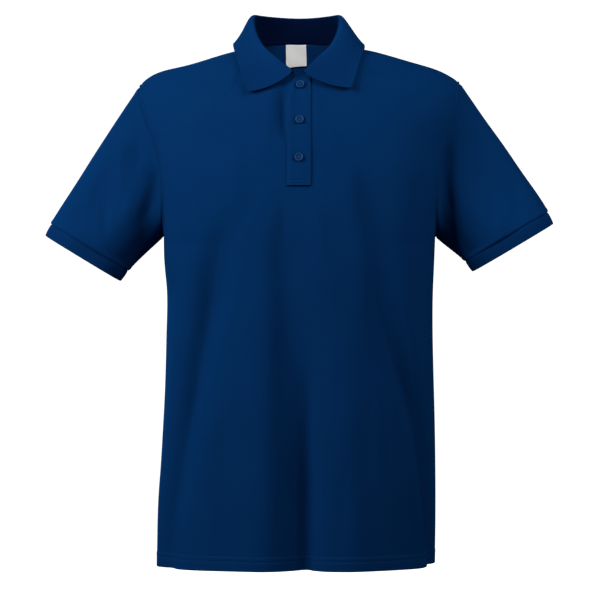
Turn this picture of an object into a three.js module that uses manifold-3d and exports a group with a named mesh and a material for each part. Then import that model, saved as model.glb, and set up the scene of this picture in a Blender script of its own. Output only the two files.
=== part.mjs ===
// Short-sleeved polo shirt in pique knit, filled out as it is worn, with nobody in it.
// Millimetres, +Z up. The front faces -Y, and +X is the wearer's left.
// The origin is the middle of the neck opening, level with the neck ends of the shoulder seams.
// Each cut piece is a closed wall: its outer face is worked out from the sizes below, and its
// inner face lies one cloth thickness behind it.
import * as THREE from 'three';
import { mergeVertices } from 'three/addons/utils/BufferGeometryUtils.js';
import Module from 'manifold-3d';

// Cloth
const CLOTH_WALL = 1.6;
const HEM_WALL = 3;
const RIB_WALL = 2;
const SEAM_GAP = 0.4;

// Heights of the trunk
const HEM_Z = -711;
const HEM_TURN = 20;
const HEM_TILT = 1.6;
const ARMPIT_Z = -262;
const TIP_Z = { right: -56, left: -51 };

// The trunk's panels run from v = 0 at the hem to v = 1 at the shoulder seam and the neck.
const ARMPIT_V = 0.6;
const YOKE_V = 0.86;

// Half width of the trunk on the wearer's right and left
const SIDES = [
  { z: -711, right: 193, left: 186.5 },
  { z: -620, right: 192, left: 187 },
  { z: -500, right: 186, left: 185.5 },
  { z: -380, right: 182.2, left: 183 },
  { z: -330, right: 182.3, left: 183.4 },
  { z: -300, right: 185, left: 184.5 },
  { z: -262, right: 186.5, left: 186.5 },
];

// The middle line of each panel, and how far its row turns towards the side, in degrees
const FRONT_MIDDLE = [
  { v: 0, z: -711, y: -122, sweep: 90 },
  { v: 0.15, z: -603, y: -123, sweep: 90 },
  { v: 0.3, z: -495, y: -124.5, sweep: 90 },
  { v: 0.45, z: -386.5, y: -127, sweep: 90 },
  { v: 0.6, z: -278, y: -128, sweep: 90 },
  { v: 0.7, z: -211, y: -122, sweep: 76 },
  { v: 0.8, z: -150, y: -109, sweep: 66 },
  { v: 0.86, z: -112, y: -98, sweep: 62 },
];
const BACK_MIDDLE = [
  { v: 0, z: -711, y: 105, sweep: 90 },
  { v: 0.15, z: -603, y: 103, sweep: 90 },
  { v: 0.3, z: -494, y: 102, sweep: 90 },
  { v: 0.45, z: -385, y: 107, sweep: 90 },
  { v: 0.6, z: -275, y: 115, sweep: 90 },
  { v: 0.7, z: -203, y: 118, sweep: 76 },
  { v: 0.8, z: -136, y: 113, sweep: 66 },
  { v: 0.86, z: -94, y: 104, sweep: 62 },
];
const BOXY = 0.16;
// The direction in which the cloth at the centre front arrives at the neck seam
const UP_NECK = { back: 0.42, rise: 0.9 };

// The armhole is an oval seen from the side. `up` is 1 at the shoulder tip and -1 at the armpit.
const ARMHOLE = [
  { up: -1, front: 186.5, back: 186.5 },
  { up: -0.6, front: 186, back: 191 },
  { up: -0.25, front: 187.5, back: 197 },
  { up: 0, front: 190.5, back: 202 },
  { up: 0.25, front: 197, back: 208 },
  { up: 0.67, front: 214, back: 217 },
  { up: 1, front: 221, back: 221 },
];
const ARMHOLE_DEPTH = { front: 53, back: 56, lower: 14 };

// The shoulder seam, from the neck to the shoulder tip
const SHOULDER = [
  { along: 0, x: 63, right: 1, left: 4 },
  { along: 0.2, x: 95, right: -8, left: -4 },
  { along: 0.4, x: 127, right: -18.5, left: -14 },
  { along: 0.6, x: 160, right: -28, left: -24 },
  { along: 0.8, x: 194, right: -36, left: -34.5 },
  { along: 0.92, x: 212, right: -46, left: -44 },
  { along: 1, x: 221, right: -56, left: -51 },
];
const SEAM_FORWARD = 4.8;
const SEAM_PITCH = 0.2;
const SHOULDER_ROUND = 1.65;

// The neck seam: `turn` is 0 at the centre back and 180 at the centre front
const NECK = { halfWidth: 63, back: 58, front: 70 };
const NECK_HEIGHT = [
  { turn: 0, z: 9 },
  { turn: 45, z: 5.5 },
  { turn: 90, z: 1 },
  { turn: 135, z: -22 },
  { turn: 180, z: -46.5 },
];
const SHOULDER_TURN = 99;
const NECK_SHARE = 0.385;
// The corner between neck and shoulder seam fades out below the edge: it is averaged over a share
// of the panel's half width
const CORNER_ROUND = 0.3;
const CORNER_WEIGHTS = [1, 2, 3, 2, 1];

// Folds that hang from the chest and the shoulder blades. `at` is the angle round the trunk from
// the centre front, positive to the wearer's left, at the fold's top and at the hem.
const FOLDS = [
  { from: -198, full: -365, last: -1140, at: -24.4, hem: -66, right: 7.2, left: 9.2, out: -14 },
  { from: -246, full: -420, last: -1200, at: -45, hem: -81, right: 12, left: 10, out: 4.4 },
  { from: -240, full: -424, last: -1240, at: -11.5, hem: -12, right: 9, left: 6, out: 9 },
  { from: -183, full: -310, last: -572, at: -5.2, hem: -3.5, right: 5.5, left: 11, out: -8 },
  { from: -360, full: -640, last: -1500, at: 2.2, hem: 2, right: 7.6, left: 4.6, out: -15 },
  { from: -390, full: -620, last: -1500, at: 2.4, hem: 2.4, right: 4, left: 2.8, out: -8 },
  { from: -330, full: -540, last: -1500, at: 16, hem: 19, right: 9, left: 9, out: 8.5 },
  { from: -138, full: -250, last: -465, at: 28.6, hem: 36, right: 4.8, left: 10.8, out: -10 },
  { from: -291, full: -450, last: -1350, at: 24.6, hem: 76, right: 6, left: 8, out: -12.6 },
  { from: -398, full: -554, last: -1196, at: 35.7, hem: 35.3, right: 7.8, left: 6, out: 2 },
  { from: -462, full: -624, last: -1200, at: 63.7, hem: 69.3, right: 8.8, left: 8.8, out: -3.2 },
  { from: -298, full: -425, last: -1196, at: 50, hem: 55.7, right: 9, left: 8.9, out: 3.2 },
  { from: -260, full: -520, last: -1200, at: 180, hem: 178, right: 8, left: 9, out: -9 },
  { from: -240, full: -480, last: -1200, at: 163, hem: 164, right: 8, left: 7, out: 6 },
  { from: -240, full: -480, last: -1200, at: -163, hem: -165, right: 7, left: 8, out: 6 },
  { from: -230, full: -460, last: -1000, at: 148, hem: 140, right: 8, left: 8, out: -7 },
  { from: -230, full: -470, last: -1100, at: -146, hem: -142, right: 8, left: 8, out: -7 },
  { from: -330, full: -560, last: -1200, at: 130, hem: 121, right: 9, left: 9, out: 5 },
  { from: -330, full: -560, last: -1200, at: -131, hem: -122, right: 9, left: 9, out: 5 },
];
// A fold keeps this share of its height at the end of its run, and fades out near the armhole
const FOLD_KEEPS = 0.1;
const FOLD_FADE = { from: 0.5, to: 0.66, power: 6 };

// Sleeves: the outer and inner end of the cuff's seam as seen from the front
const SLEEVES = {
  right: { side: -1, outX: 341, outZ: -244, inX: 234, inZ: -309, y: -10, depth: 47, swing: 0 },
  left: { side: 1, outX: 340, outZ: -228, inX: 225.5, inZ: -296, y: -20, depth: 48, swing: -0.06 },
};
const SLEEVE_FOLDS_SPENT = { from: 0.8, lost: 0.7 };
const SLEEVE_BOXY = 0.1;
const CUFF = { width: 17.5, narrower: 1.6, taper: 0.985 };
// How the sleeve's cloth leaves the armhole, by the angle round it: 0 at the tip, 90 at the front
const SLEEVE_START = [
  { turn: 0, out: 0.55, back: 0, down: 0.82, arrive: 0.7 },
  { turn: 60, out: 0.48, back: 0.3, down: 0.78, arrive: 0.7 },
  { turn: 120, out: 0.5, back: 0.4, down: 0.78, arrive: 0.5 },
  { turn: 180, out: 0.72, back: 0, down: 0.7, arrive: 0.3 },
  { turn: 240, out: 0.55, back: -0.25, down: 0.8, arrive: 0.5 },
  { turn: 300, out: 0.52, back: -0.12, down: 0.8, arrive: 0.7 },
  { turn: 360, out: 0.55, back: 0, down: 0.82, arrive: 0.7 },
];
const SLEEVE_FOLDS = [
  { at: 62, width: 15, from: 0.1, full: 0.6, out: -4 },
  { at: 100, width: 14, from: 0.05, full: 0.5, out: 3 },
  { at: 140, width: 16, from: 0, full: 0.4, out: -5 },
  { at: 215, width: 18, from: 0.05, full: 0.5, out: -4 },
  { at: 270, width: 20, from: 0.1, full: 0.6, out: 3 },
  { at: 312, width: 16, from: 0.1, full: 0.6, out: -3 },
];

// Collar: the line of the fold and the free edge, by the turn round the neck
const COLLAR = [
  { turn: 0, foldX: 0, foldY: 58, foldZ: 42, edgeX: 0, edgeY: 84, edgeZ: -6 },
  { turn: 30, foldX: 31.5, foldY: 51, foldZ: 43, edgeX: 44, edgeY: 74, edgeZ: -5 },
  { turn: 60, foldX: 53, foldY: 29, foldZ: 43.5, edgeX: 75, edgeY: 45, edgeZ: -1 },
  { turn: 90, foldX: 60.5, foldY: 0, foldZ: 38, edgeX: 89, edgeY: 3, edgeZ: 2 },
  { turn: 115, foldX: 57.5, foldY: -25, foldZ: 17, edgeX: 87, edgeY: -30, edgeZ: -11 },
  { turn: 135, foldX: 47, foldY: -46, foldZ: -4, edgeX: 82, edgeY: -52, edgeZ: -27 },
  { turn: 155, foldX: 29.5, foldY: -63.5, foldZ: -21.5, edgeX: 76, edgeY: -70, edgeZ: -46 },
  { turn: 172, foldX: 9, foldY: -79, foldZ: -41.4, edgeX: 69, edgeY: -84, edgeZ: -65 },
];
const COLLAR_END = 172;
const COLLAR_FLARE = 0.3;
const COLLAR_ABOVE_SEAM = -0.1;
// The collar sits a little to the wearer's right, and its two points aren't quite alike
const COLLAR_LEAN = { fold: -4, edge: -0.5, full: 60, from: 150, lost: 0.7 };
const COLLAR_TIP = { right: { x: 0, z: -4 }, left: { x: 1, z: 1.3 } };
// The roll over the fold: its share of `outward`, its length for a stand's height, and the least
// height that counts
const COLLAR_ROLL = { outward: 0.35, length: 12, shortest: 12 };
// The front edge of each leaf hangs in a bow
const COLLAR_SAG = { from: 140, down: 6.5, out: 2.3 };

// Placket: a band on each side of a slit in the front
const PLACKET = { left: 15.5, bottom: -196, top: -42, belowNeck: 2, wall: 2.4 };
const FREE_EDGE = { x: -16.5, atNeck: -7.5, from: -110, to: -45, bow: 3 };
const UNDER_PLACKET = { halfWidth: 14, bottom: -194, wall: 1.6 };
const SLIT = { halfWidth: 8.5, bottom: -190, height: 200, y: -105, depth: 90 };
const BUTTONS = [{ x: 1, z: -60 }, { x: 0, z: -108 }, { x: -1, z: -159 }];
const BUTTON = { radius: 5.7, thick: 2.4, sides: 20 };
const BUTTON_PROFILE = [
  { r: 0, h: 0 },
  { r: 5.1, h: 0 },
  { r: 5.7, h: 0.7 },
  { r: 5.6, h: 1.9 },
  { r: 5.1, h: 2.4 },
  { r: 4.2, h: 2.3 },
  { r: 3.4, h: 1.6 },
  { r: 0, h: 1.6 },
];
const THREAD_HOLES = { count: 4, radius: 0.8, fromMiddle: 1.7, sides: 8 };

const LABEL = { x: -5, halfWidth: 14.5, top: 7.5, bottom: -21.7, tilt: 1.6, wall: 1, clear: 1.5 };

const wasm = await Module();
wasm.setup();

const radians = THREE.MathUtils.degToRad;
const lerp = THREE.MathUtils.lerp;
const at = (x, y, z) => new THREE.Vector3(x, y, z);

// 0 at `from` and before it, 1 at `to` and after it, smooth between them. `to` can be the smaller.
function ease(value, from, to) {
  const t = THREE.MathUtils.clamp((value - from) / (to - from), 0, 1);
  return t * t * (3 - 2 * t);
}

// A natural cubic spline through a table: the column `out` against the column `along`.
// With mirror 1 or -1 the table also runs to the other side of zero, even or odd.
function curve(table, along, out, mirror = 0) {
  const rows = table.map((row) => [row[along], row[out]]);
  if (mirror) rows.unshift(...rows.slice(1).reverse().map(([a, b]) => [-a, mirror * b]));
  const last = rows.length - 1;
  const bend = new Array(last + 1).fill(0);
  const work = new Array(last + 1).fill(0);
  const slope = (k) => (rows[k + 1][1] - rows[k][1]) / (rows[k + 1][0] - rows[k][0]);
  for (let k = 1; k < last; k++) {
    const whole = rows[k + 1][0] - rows[k - 1][0];
    const share = (rows[k][0] - rows[k - 1][0]) / whole;
    const pivot = share * bend[k - 1] + 2;
    bend[k] = (share - 1) / pivot;
    work[k] = ((6 * (slope(k) - slope(k - 1))) / whole - share * work[k - 1]) / pivot;
  }
  for (let k = last - 1; k >= 0; k--) bend[k] = bend[k] * bend[k + 1] + work[k];
  return (value) => {
    let k = 0;
    while (k < last - 1 && value > rows[k + 1][0]) k++;
    const width = rows[k + 1][0] - rows[k][0];
    const b = THREE.MathUtils.clamp((value - rows[k][0]) / width, 0, 1);
    const a = 1 - b;
    const cubic = (a * a * a - a) * bend[k] + (b * b * b - b) * bend[k + 1];
    return a * rows[k][1] + b * rows[k + 1][1] + (cubic * width * width) / 6;
  };
}

// The closed wall between two grids of points, outer[row][column] and inner[row][column].
// A ring's columns join up at the end.
function wall(outer, inner, ring = false) {
  const rows = outer.length;
  const columns = outer[0].length;
  const flat = [...outer.flat(), ...inner.flat()];
  const o = (j, i) => j * columns + (i % columns);
  const n = (j, i) => rows * columns + o(j, i);
  const faces = [];
  const quad = (a, b, c, d) => faces.push(a, b, c, a, c, d);
  const spans = ring ? columns : columns - 1;
  for (let j = 0; j < rows - 1; j++)
    for (let i = 0; i < spans; i++) {
      quad(o(j, i), o(j, i + 1), o(j + 1, i + 1), o(j + 1, i));
      quad(n(j, i), n(j + 1, i), n(j + 1, i + 1), n(j, i + 1));
    }
  for (let i = 0; i < spans; i++) {
    quad(n(0, i), n(0, i + 1), o(0, i + 1), o(0, i));
    quad(o(rows - 1, i), o(rows - 1, i + 1), n(rows - 1, i + 1), n(rows - 1, i));
  }
  if (!ring)
    for (let j = 0; j < rows - 1; j++) {
      quad(o(j, 0), o(j + 1, 0), n(j + 1, 0), n(j, 0));
      quad(n(j, spans), n(j + 1, spans), o(j + 1, spans), o(j, spans));
    }
  const turned = volume(flat, faces) < 0;
  if (turned)
    for (let k = 0; k < faces.length; k += 3)
      [faces[k + 1], faces[k + 2]] = [faces[k + 2], faces[k + 1]];
  const geometry = new THREE.BufferGeometry();
  geometry.setAttribute(
    'position',
    new THREE.Float32BufferAttribute(flat.flatMap((p) => [p.x, p.y, p.z]), 3)
  );
  geometry.setIndex(faces);
  return geometry;
}

function volume(points, faces) {
  let sum = 0;
  const across = new THREE.Vector3();
  for (let k = 0; k < faces.length; k += 3) {
    across.crossVectors(points[faces[k + 1]], points[faces[k + 2]]);
    sum += points[faces[k]].dot(across);
  }
  return sum / 6;
}

// The unit normal of a surface of (u, v), on the side that `outward` points to
function normalOf(surface, u, v, outward) {
  const step = 1e-3;
  const du = surface(Math.min(u + step, 1), v).sub(surface(Math.max(u - step, -1), v));
  const dv = surface(u, Math.min(v + step, 1)).sub(surface(u, Math.max(v - step, 0)));
  const normal = du.cross(dv).normalize();
  return normal.dot(outward) < 0 ? normal.negate() : normal;
}

// The neck seam, all the way round
const neckHeight = curve(NECK_HEIGHT, 'turn', 'z', 1);
function neckSeam(turn) {
  const angle = radians(turn);
  const depth = turn < 90 && turn > -90 ? NECK.back : NECK.front;
  return at(
    NECK.halfWidth * Math.sin(angle),
    depth * Math.cos(angle),
    neckHeight(Math.abs(turn))
  );
}

// The armhole seam: face is -1 on the front and 1 on the back
const armholeFront = curve(ARMHOLE, 'up', 'front');
const armholeBack = curve(ARMHOLE, 'up', 'back');
function armhole(angle, face, side) {
  const up = Math.cos(angle);
  const x = (face < 0 ? armholeFront : armholeBack)(up);
  const depth = (face < 0 ? ARMHOLE_DEPTH.front : ARMHOLE_DEPTH.back) - ARMHOLE_DEPTH.lower * up;
  const z = lerp(ARMPIT_Z, TIP_Z[hand(side)], (1 + up) / 2);
  return at(side * x, face * Math.sin(angle) * depth, z);
}
const armholeAngle = (v) => Math.PI * (1 - (v - ARMPIT_V) / (1 - ARMPIT_V));

const shoulderX = curve(SHOULDER, 'along', 'x');
const shoulderZ = {
  right: curve(SHOULDER, 'along', 'right'),
  left: curve(SHOULDER, 'along', 'left'),
};
const sideZ = { right: curve(SIDES, 'z', 'right'), left: curve(SIDES, 'z', 'left') };
const hand = (side) => (side < 0 ? 'right' : 'left');

// The top edge of a panel: half of the neck seam, then the shoulder seam, which lies a little
// in front of the ridge of the shoulder
function topEdge(face, u) {
  const side = u < 0 ? -1 : 1;
  const along = (Math.abs(u) - NECK_SHARE) / (1 - NECK_SHARE);
  const inner = neckSeam(side * SHOULDER_TURN);
  if (along <= 0) {
    const start = face < 0 ? 180 : 0;
    return neckSeam(side * lerp(start, SHOULDER_TURN, Math.abs(u) / NECK_SHARE));
  }
  const fadeIn = 1 - along;
  const x = shoulderX(along) + (inner.x * side - NECK.halfWidth) * fadeIn;
  const z = shoulderZ[hand(side)](along) + (inner.z - shoulderZ[hand(side)](0)) * fadeIn ** 4;
  return at(side * x, inner.y * fadeIn - SEAM_FORWARD * Math.sin(Math.PI * along), z);
}

// The body's smooth form, before the folds, for u from -1 to 1 and v from 0 to 1
const panels = {};
for (const [name, face, middle] of [['front', -1, FRONT_MIDDLE], ['back', 1, BACK_MIDDLE]])
  panels[name] = {
    face,
    z: curve(middle, 'v', 'z'),
    y: curve(middle, 'v', 'y'),
    sweep: curve(middle, 'v', 'sweep'),
  };

const across = (angle) => Math.sin(angle) * (1 + BOXY * Math.cos(angle) ** 2);
const forward = (angle) => Math.cos(angle) * (1 + BOXY * Math.sin(angle) ** 2);

function panelEdge(panel, side, v) {
  if (v >= ARMPIT_V) return armhole(armholeAngle(v), panel.face, side);
  const z = lerp(HEM_Z + side * HEM_TILT, ARMPIT_Z, v / ARMPIT_V);
  return at(side * sideZ[hand(side)](z), 0, z);
}

// One level row of a panel, from the middle line to the side seam or the armhole
function panelRow(panel, u, v) {
  const side = u < 0 ? -1 : 1;
  const end = panelEdge(panel, side, v);
  const sweep = radians(panel.sweep(v));
  const turn = Math.abs(u) * sweep;
  const x = (end.x * across(turn)) / across(sweep);
  const back = (1 - forward(turn)) / (1 - forward(sweep));
  return at(x, lerp(panel.y(v), end.y, back), lerp(panel.z(v), end.z, u * u));
}

// The top edge, averaged over a reach to each side
function softTop(face, u, round) {
  const reach = Math.min(round, 1 - Math.abs(u));
  const whole = CORNER_WEIGHTS.reduce((sum, weight) => sum + weight, 0);
  const middle = (CORNER_WEIGHTS.length - 1) / 2;
  const mean = at(0, 0, 0);
  CORNER_WEIGHTS.forEach((weight, k) => {
    mean.addScaledVector(topEdge(face, u + (reach * (k - middle)) / middle), weight / whole);
  });
  return mean;
}

// The row at the yoke bends over the shoulder to the top edge
function panelTop(panel, u, v) {
  const t = (v - YOKE_V) / (1 - YOKE_V);
  const step = 1e-3;
  const start = panelRow(panel, u, YOKE_V);
  const rise = start.clone().sub(panelRow(panel, u, YOKE_V - step));
  const end = softTop(panel.face, u, CORNER_ROUND * (1 - t));
  const reach = end.distanceTo(start);
  const overShoulder = at(0, -panel.face, -panel.face * SEAM_PITCH).multiplyScalar(
    SHOULDER_ROUND * Math.abs(start.y - end.y)
  );
  const upNeck = at(0, -panel.face * UP_NECK.back, UP_NECK.rise).multiplyScalar(reach);
  const arrive = upNeck.lerp(overShoulder, ease(Math.abs(u), 0, NECK_SHARE));
  rise.multiplyScalar((1 - YOKE_V) / step);
  const a = (1 - t) ** 3;
  const b = 3 * t * (1 - t) ** 2;
  const c = 3 * t * t * (1 - t);
  const d = t ** 3;
  return at(0, 0, 0)
    .addScaledVector(start, a + b)
    .addScaledVector(rise, b / 3)
    .addScaledVector(end, c + d)
    .addScaledVector(arrive, -c / 3);
}

function panelForm(panel, u, v) {
  if (v <= YOKE_V) return panelRow(panel, u, v);
  const side = u < 0 ? -1 : 1;
  const off = panelEdge(panel, side, v).sub(panelTop(panel, side, v));
  return panelTop(panel, u, v).addScaledVector(off, Math.abs(u) ** 6);
}

// How far the folds move the cloth out at an angle round the trunk and a height
function foldOut(turn, z) {
  let out = 0;
  for (const fold of FOLDS) {
    const down = (fold.from - z) / (fold.from - HEM_Z);
    const centre = lerp(fold.at, fold.hem, THREE.MathUtils.clamp(down, 0, 1));
    const off = ((turn - centre + 540) % 360) - 180;
    const width = off < 0 ? fold.right : fold.left;
    const spent = ease(z, fold.full, fold.last) * (1 - FOLD_KEEPS);
    out += fold.out * ease(z, fold.from, fold.full) * (1 - spent) * Math.exp(-((off / width) ** 2));
  }
  return out;
}

function panelPoint(panel, u, v) {
  const point = panelForm(panel, u, v);
  const turn = panel.face < 0 ? u * 90 : Math.sign(u || 1) * (180 - Math.abs(u) * 90);
  const nearArmhole = ease(v, FOLD_FADE.from, FOLD_FADE.to) * Math.abs(u) ** FOLD_FADE.power;
  const out = foldOut(turn, point.z) * (1 - nearArmhole);
  if (Math.abs(out) < 1e-6) return point;
  const form = (a, b) => panelForm(panel, a, b);
  return point.addScaledVector(normalOf(form, u, v, panelOutward(panel, u)), out);
}

const panelOutward = (panel, u) =>
  at(Math.sin((u * Math.PI) / 2), panel.face * Math.cos((u * Math.PI) / 2), 0.3);

// A point on a panel, and its normal, from its x and z as seen from the front. Each step moves u
// and v by the distance that is left, over the panel's rough half width and height.
const SEARCH = { steps: 40, halfWidth: 290, height: 940 };
function onPanel(panel, x, z) {
  let u = x / sideZ.left(z);
  let v = lerp(0, ARMPIT_V, (z - HEM_Z) / (ARMPIT_Z - HEM_Z));
  v = THREE.MathUtils.clamp(v, 0, 1);
  const surface = (a, b) => panelPoint(panel, a, b);
  for (let k = 0; k < SEARCH.steps; k++) {
    const p = surface(u, v);
    u += (x - p.x) / SEARCH.halfWidth;
    v = THREE.MathUtils.clamp(v + (z - p.z) / SEARCH.height, 0, 1);
  }
  return { point: surface(u, v), normal: normalOf(surface, u, v, panelOutward(panel, u)) };
}

// Where a sleeve's cloth is, for s from 0 at the armhole to 1 at the cuff seam
const startOut = curve(SLEEVE_START, 'turn', 'out');
const startBack = curve(SLEEVE_START, 'turn', 'back');
const startDown = curve(SLEEVE_START, 'turn', 'down');
const endReach = curve(SLEEVE_START, 'turn', 'arrive');

function sleeveAxis(sleeve) {
  const outer = at(sleeve.side * sleeve.outX, 0, sleeve.outZ);
  const inner = at(sleeve.side * sleeve.inX, 0, sleeve.inZ);
  const up = outer.clone().sub(inner);
  const axis = at(up.z, sleeve.swing * up.length(), -Math.abs(up.x)).normalize();
  axis.x = sleeve.side * Math.abs(axis.x);
  return { axis, up: up.clone().multiplyScalar(0.5), middle: outer.add(inner).multiplyScalar(0.5) };
}

// The ring at the end of a sleeve, moved `along` the sleeve and drawn in by `scale`
function sleeveRing(sleeve, angle, along, scale) {
  const { axis, up, middle } = sleeveAxis(sleeve);
  const boxed = 1 + SLEEVE_BOXY * Math.sin(angle * 2) ** 2;
  return middle
    .clone()
    .add(at(0, sleeve.y, 0))
    .addScaledVector(up, Math.cos(angle) * scale * boxed)
    .addScaledVector(at(0, -1, 0), Math.sin(angle) * sleeve.depth * scale * boxed)
    .addScaledVector(axis, along);
}

function sleeveForm(sleeve, turn, s) {
  const angle = radians(turn);
  const folded = turn > 180 ? 2 * Math.PI - angle : angle;
  const start = armhole(folded, turn > 180 ? 1 : -1, sleeve.side);
  const end = sleeveRing(sleeve, angle, 0, 1);
  const reach = start.distanceTo(end);
  const leave = at(sleeve.side * startOut(turn), startBack(turn), -startDown(turn));
  leave.multiplyScalar(reach);
  const { axis } = sleeveAxis(sleeve);
  const s2 = s * s;
  const s3 = s2 * s;
  return at(0, 0, 0)
    .addScaledVector(start, 2 * s3 - 3 * s2 + 1)
    .addScaledVector(leave, s3 - 2 * s2 + s)
    .addScaledVector(end, 3 * s2 - 2 * s3)
    .addScaledVector(axis, (s3 - s2) * reach * endReach(turn));
}

function sleeveOutward(sleeve, turn) {
  const { axis } = sleeveAxis(sleeve);
  const up = at(-axis.z * sleeve.side, 0, axis.x * sleeve.side);
  const angle = radians(turn);
  return up.multiplyScalar(Math.cos(angle)).add(at(0, -Math.sin(angle), 0));
}

function sleeveNormal(sleeve, turn, s) {
  const step = { s: 0.01, turn: 0.5 };
  const ds = sleeveForm(sleeve, turn, Math.min(s + step.s, 1));
  ds.sub(sleeveForm(sleeve, turn, Math.max(s - step.s, 0)));
  const before = sleeveForm(sleeve, (turn - step.turn + 360) % 360, s);
  const da = sleeveForm(sleeve, (turn + step.turn) % 360, s).sub(before);
  const normal = da.cross(ds).normalize();
  return normal.dot(sleeveOutward(sleeve, turn)) < 0 ? normal.negate() : normal;
}

function sleevePoint(sleeve, turn, s) {
  let out = 0;
  for (const fold of SLEEVE_FOLDS) {
    const off = ((turn - fold.at + 540) % 360) - 180;
    const spent = ease(s, SLEEVE_FOLDS_SPENT.from, 1) * SLEEVE_FOLDS_SPENT.lost;
    const strength = ease(s, fold.from, fold.full) * (1 - spent);
    out += fold.out * strength * Math.exp(-((off / fold.width) ** 2));
  }
  return sleeveForm(sleeve, turn, s).addScaledVector(sleeveNormal(sleeve, turn, s), out);
}

// The direction through the cloth at the armhole seam, between the panel's and the sleeve's.
// At the armpit and the shoulder tip, where three pieces meet, it is shared by all of them.
function armholeNormal(angle, face, side) {
  const sleeve = side < 0 ? SLEEVES.right : SLEEVES.left;
  const v = 1 - (angle / Math.PI) * (1 - ARMPIT_V);
  const degrees = THREE.MathUtils.radToDeg(angle);
  const shared = degrees < 1 || degrees > 179;
  const sum = at(0, 0, 0);
  for (const panel of Object.values(panels)) {
    if (panel.face !== face && !shared) continue;
    const form = (a, b) => panelForm(panel, a, b);
    const turn = panel.face < 0 ? degrees : (360 - degrees) % 360;
    sum.add(normalOf(form, side, v, panelOutward(panel, side)));
    sum.add(sleeveNormal(sleeve, turn, 0));
  }
  return sum.normalize();
}

// How the grids are divided
const ROWS_BELOW = 17;
const ROWS_ABOVE = 12;
const COLUMNS_NECK = 6;
const COLUMNS_SHOULDER = 9;
const SLEEVE_ROWS = 8;
const BAND_COLUMNS = 4;
const TOP_BAND_ROWS = 16;
const UNDER_BAND_ROWS = 12;
const COLLAR_SHARES = [0, 0.5, 0.82, 0.94, 1, 1.05, 1.12, 1.28, 1.52, 1.78, 2];
const ABOVE_HEM_TURN = 0.004;

const bodyRows = [];
bodyRows.push(0, (HEM_TURN / (ARMPIT_Z - HEM_Z)) * ARMPIT_V);
const afterHem = bodyRows[1] + ABOVE_HEM_TURN;
for (let k = 0; k <= ROWS_BELOW; k++) bodyRows.push(lerp(afterHem, ARMPIT_V, k / ROWS_BELOW));
for (let k = 1; k <= ROWS_ABOVE; k++) bodyRows.push(lerp(ARMPIT_V, 1, k / ROWS_ABOVE));
const halfColumns = [];
for (let k = 0; k < COLUMNS_NECK; k++) halfColumns.push((NECK_SHARE * k) / COLUMNS_NECK);
for (let k = 0; k <= COLUMNS_SHOULDER; k++)
  halfColumns.push(lerp(NECK_SHARE, 1, k / COLUMNS_SHOULDER));
const bodyColumns = [...halfColumns.slice(1).reverse().map((u) => -u), ...halfColumns];

// The move that takes an edge half a gap away from its seam: square to the seam's own direction
// and to the direction through the cloth, so that both edges of a seam stay parallel
function fromSeam(along, through, inwards) {
  const shift = along.clone().cross(through).setLength(SEAM_GAP / 2);
  return shift.dot(inwards) < 0 ? shift.negate() : shift;
}

function armholeShift(angle, face, side, through, inwards) {
  const along = armhole(angle + 0.02, face, side).sub(armhole(angle - 0.02, face, side));
  return fromSeam(along, through, inwards);
}

function shoulderNormal(u) {
  const sum = at(0, 0, 0);
  for (const panel of Object.values(panels))
    sum.add(normalOf((a, b) => panelForm(panel, a, b), u, 1, panelOutward(panel, u)));
  return sum.normalize();
}

// Front and back: a point just inside the panel from one on its edge, and the end of the neck seam
const INSIDE = { u: 0.97, v: -0.02 };
const NEAR_NECK_END = 0.01;
const NECK_END_FALL = -0.2;
function panelVertex(panel, u, v) {
  const surface = (a, b) => panelPoint(panel, a, b);
  const side = Math.sign(u);
  const point = surface(u, v);
  const onSide = Math.abs(u) === 1;
  const inwards = surface(u * INSIDE.u, v + INSIDE.v).sub(point);
  let through = normalOf(surface, u, v, panelOutward(panel, u));
  const shift = at(0, 0, 0);
  if (onSide && v <= ARMPIT_V) through = at(side, 0, 0);
  if (onSide && v >= ARMPIT_V) {
    const angle = armholeAngle(v);
    through = armholeNormal(angle, panel.face, side);
    shift.add(armholeShift(angle, panel.face, side, through, inwards));
  }
  if (onSide && v <= ARMPIT_V) shift.add(fromSeam(at(0, 0, 1), through, at(0, panel.face, 0)));
  const pastNeck = Math.abs(u) / NECK_SHARE - 1;
  if (v === 1 && pastNeck > -NEAR_NECK_END) {
    const along = topEdge(panel.face, u).sub(topEdge(panel.face, u * INSIDE.u));
    if (!onSide) through = shoulderNormal(u);
    if (pastNeck < NEAR_NECK_END) along.set(side, 0, NECK_END_FALL);
    shift.add(fromSeam(along, through, inwards));
  } else if (v === 1) shift.set(0, 0, -SEAM_GAP / 2);
  return { point, through, shift };
}

function panelWall(panel) {
  const outer = [];
  const inner = [];
  for (const v of bodyRows) {
    const thick = v <= bodyRows[1] ? HEM_WALL : CLOTH_WALL;
    const row = bodyColumns.map((u) => panelVertex(panel, u, v));
    outer.push(row.map(({ point, shift }) => point.clone().add(shift)));
    inner.push(
      row.map(({ point, through, shift }) => point.addScaledVector(through, -thick).add(shift))
    );
  }
  return wall(outer, inner);
}

const sleeveTurns = [];
for (let k = 0; k < ROWS_ABOVE * 2; k++) sleeveTurns.push((180 * k) / ROWS_ABOVE);

function sleeveVertex(sleeve, turn, s) {
  const point = sleevePoint(sleeve, turn, s);
  if (s > 0) {
    const shift = sleeveAxis(sleeve).axis.setLength(s === 1 ? -SEAM_GAP / 2 : 0);
    return { point, through: sleeveNormal(sleeve, turn, s), shift };
  }
  const angle = radians(turn > 180 ? 360 - turn : turn);
  const face = turn > 180 ? 1 : -1;
  const through = armholeNormal(angle, face, sleeve.side);
  const inwards = sleevePoint(sleeve, turn, 0.03).sub(point);
  return { point, through, shift: armholeShift(angle, face, sleeve.side, through, inwards) };
}

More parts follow.
